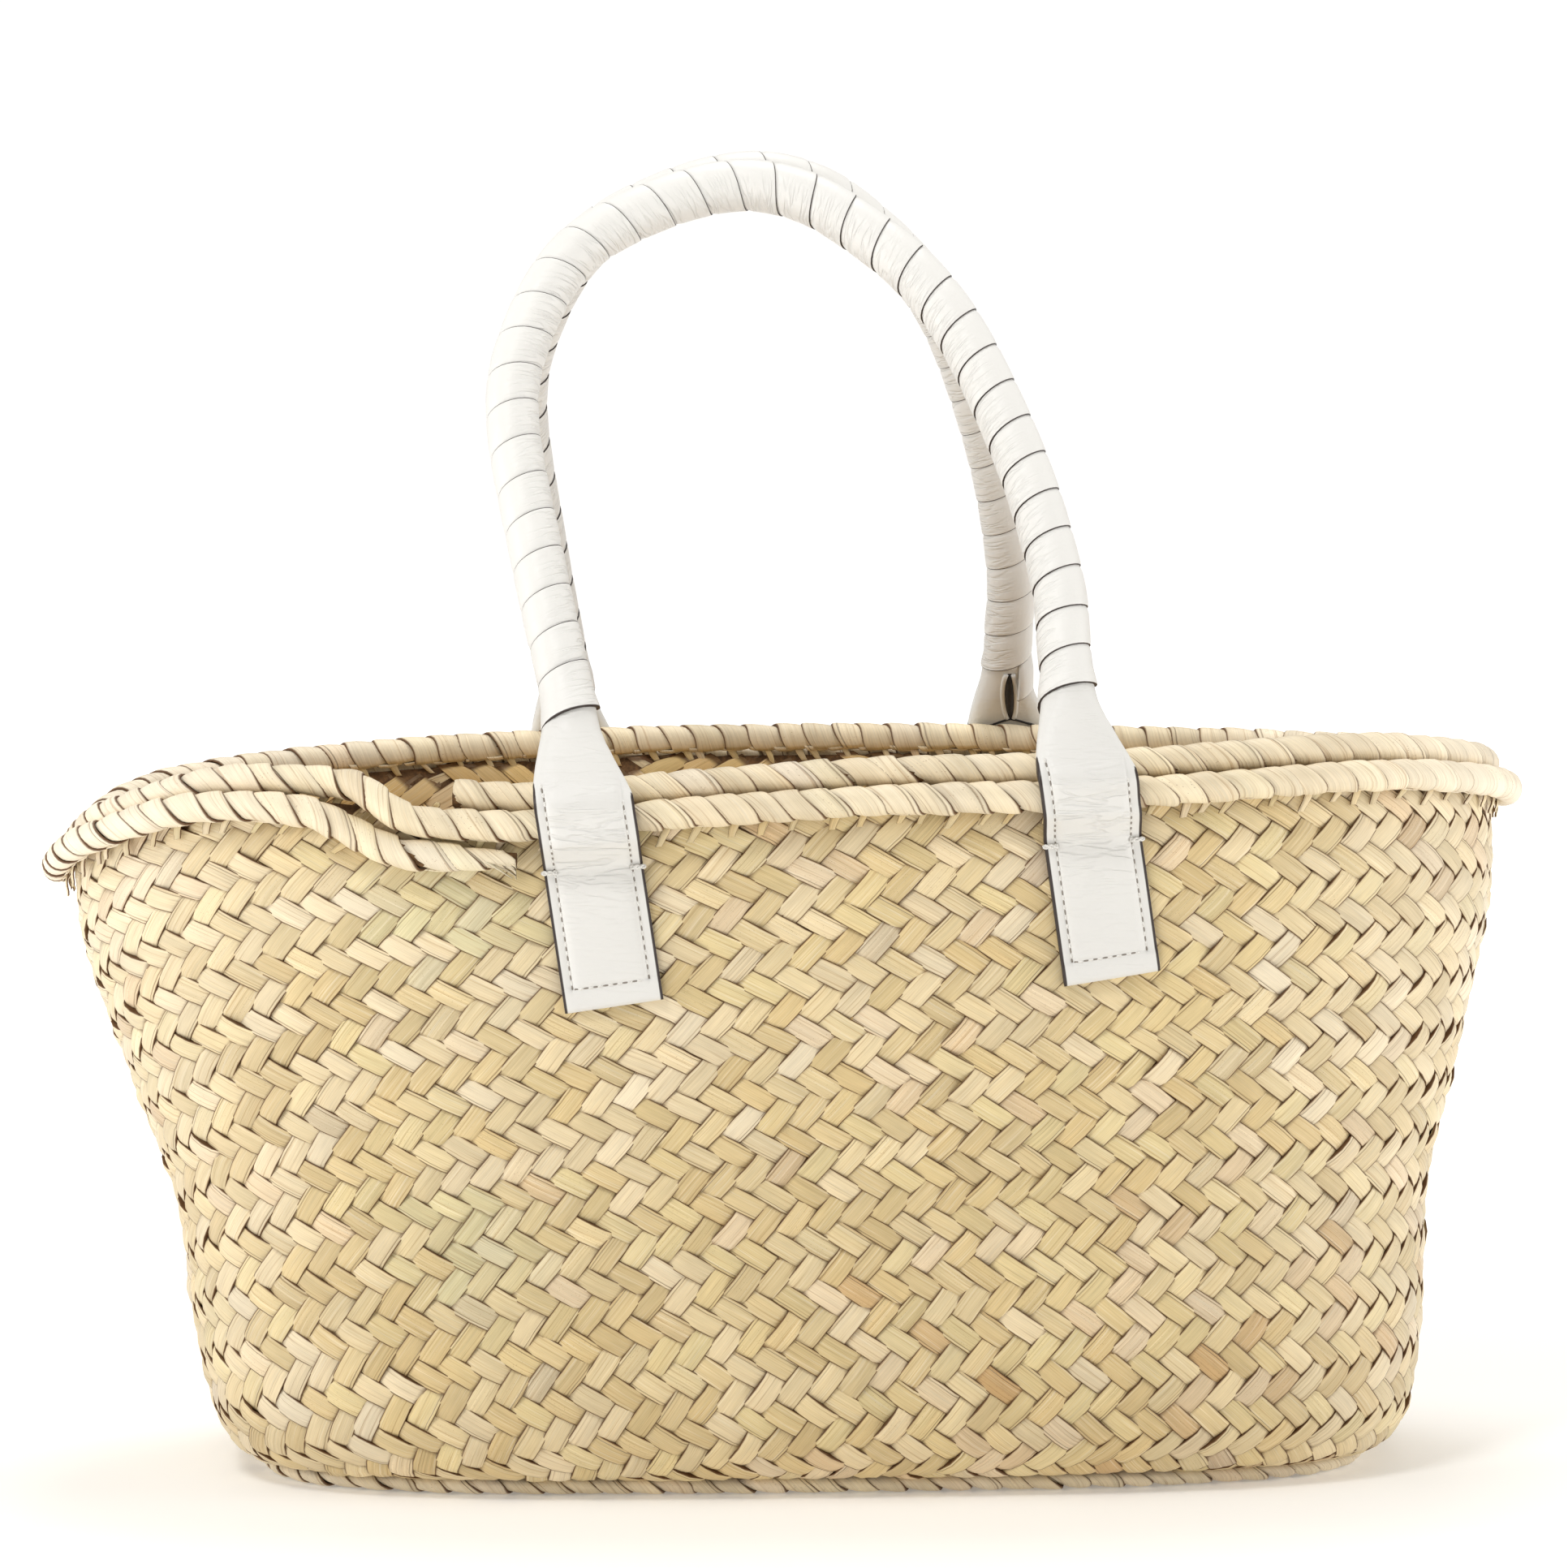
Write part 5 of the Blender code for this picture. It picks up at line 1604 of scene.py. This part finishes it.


# The sleeve's two edges meet on its inner side: a dark slit between rolled edges, its dark
# painted shade in the opening, and below it the edge of the inner layer, stitched in the shape
# of a tent, drawn as dark lines of edge paint.
def makeSleeveSlit(label, side, where, sign, material):
    onHandle = handlePlacer(side, leather["slopes"][label])
    topX = sign * leather["spacing"] / 2
    footX = leather["shift"] + sign * leather["halfSpan"]
    facing = onHandle(0, 1, 0) - onHandle(0, 0, 0)

    def onBack(across, up):
        k = up / leather["sleeve"]
        thick = sleeveDepth(k)
        half = sleeveHalfWidth(k, across > 0)
        power = 2.0 / mix(8.0, 2.0, smooth(k * 1.15))
        share = min(abs(across) / half, 1.0)
        depth = thick / 2 * (1 + max(1 - share ** (2 / power), 0.0) ** (power / 2))
        return onHandle(mix(topX, footX, smooth(k)) + across, depth, up)

    tubes = []
    for across in (0.0, -slit["apart"], slit["apart"]):     # the slit, then its rolled edges
        points, radii = [], []
        for k in range(15):
            t = k / 14
            spread = math.sin(math.pi * min(max(t, 0.02), 0.98)) ** 0.5
            sunk = slit["edgeSunk"] if across else slit["slitSunk"]
            points.append(onBack(across * (0.35 + 0.65 * spread),
                                 mix(slit["low"], slit["high"], t)) - facing * sunk)
            radii.append(slit["edge"] if across else slit["half"] * (0.25 + 0.75 * spread))
        tubes.append(makeTube(f"{label}{where}slit", points, [facing] * 15, radii,
                              material if across else darkSlit, 10))
    for direction in (-1, 1):
        points = [onBack(direction * slit["tentReach"] * k / 12,
                         slit["low"] - 0.0005 - slit["tentDrop"] * (k / 12) ** 1.2)
                  - facing * 0.0001 for k in range(13)]
        tubes.append(makeTube(f"{label}{where}tent", points, [facing] * 13,
                              [slit["tentLine"]] * 13, darkSlit, 8))
    for name, same in (("Slit", [tubes[0]] + tubes[3:]), ("RolledEdges", tubes[1:3])):
        piece = joinObjects(f"{label}{where.capitalize()}{name}", same)
        for attribute in ("edgePaint", "creaseMask"):
            addValues(piece, attribute, "FLOAT", [0.0] * len(piece.data.vertices))
        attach(piece, f"{label}_handle")


# Bar tacks: two turns of thread over the edge of the tab.
def makeTacks(label, where, side, onTab):
    up = leather["tabLength"] - leather["tackDrop"]
    width, stack = leather["tabWidth"], leather["stack"]
    for name, sign in (("left", -1), ("right", 1)):
        tubes = []
        for turn in (-1, 1):
            points, normals = [], []
            for k in range(13):
                s = k / 12
                across = sign * (width / 2 + 0.0008 - 0.0056 * s)
                out = stack - 0.0006 + 0.0007 * math.sin(math.pi * min(s * 1.2, 1.0))
                swirl = math.cos(s * 9 + turn * math.pi / 2)
                points.append(onTab(across, up + 0.0005 * swirl, out + 0.00025 * math.sin(
                    s * 9 + turn * math.pi / 2)))
                normals.append(Vector((0, side, 0)))
            tubes.append(makeTube("tack", points, normals, [0.00048] * 13, whiteThread, 8))
        tack = joinObjects(f"{label}{where.capitalize()}{name.capitalize()}Tack", tubes)
        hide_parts(f"{label}_{where}_tab_{name}_bartack")
        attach(tack, "basket")


def grainFromStrip(tree):
    return outOf(addNode(tree, "ShaderNodeUVMap", uv_map="leafGrain"))


wrapLeather = leatherMaterial("wrappedWhiteLeather", leatherFinish, leatherLook["wrap"],
                              (55.0, 300.0, 1.0), grainFromStrip)
tabLeather = leatherMaterial("stitchedWhiteLeather", leatherFinish, leatherLook["tab"],
                             (48.0, 48.0, 260.0))
ropeFibre = twistedMaterial("twistedRope", "#CFC6B4", "#8F8672", 700.0, 0.9)
# the slit's dark is painted shade in the opening; the tent lines' dark is edge paint
darkSlit = twistedMaterial("darkSlit", "#2B2522", "#1D1816", 900.0, 0.7)
greyFelt = twistedMaterial("stiffenerFelt", "#BDB6A8", "#8C867A", 1200.0, 0.95)

alongTree = makeAlongTree()
makeRim(alongTree)
makeTies(alongTree)
makeFoot(alongTree)
makeBase(leafShapes, plaitTree)
for label, side in (("front", -1), ("back", 1)):
    makeHandleWrap(label, side, alongTree, wrapLeather)
    for where, sign in (("left", -1), ("right", 1)):
        ring, lowEnd, highEnd, onTab, piece = makeLeatherEnd(label, side, where, sign, tabLeather)
        makeStitches(label, side, where, ring, (lowEnd, highEnd), alongTree)
        makeTacks(label, where, side, onTab)
        makeSleeveSlit(label, side, where, sign, tabLeather)
    print(label, "handle made")

cadNodes = frame["nodes"]
for name, node in cadNodes.items():  # what stays hidden inside still gets its own finish
    if name.endswith("rope_core"):
        node.data.materials.clear()
        node.data.materials.append(ropeFibre)
    elif name.endswith("filler"):
        node.data.materials.clear()
        node.data.materials.append(greyFelt)

dropObject(*leafShapes.objects)
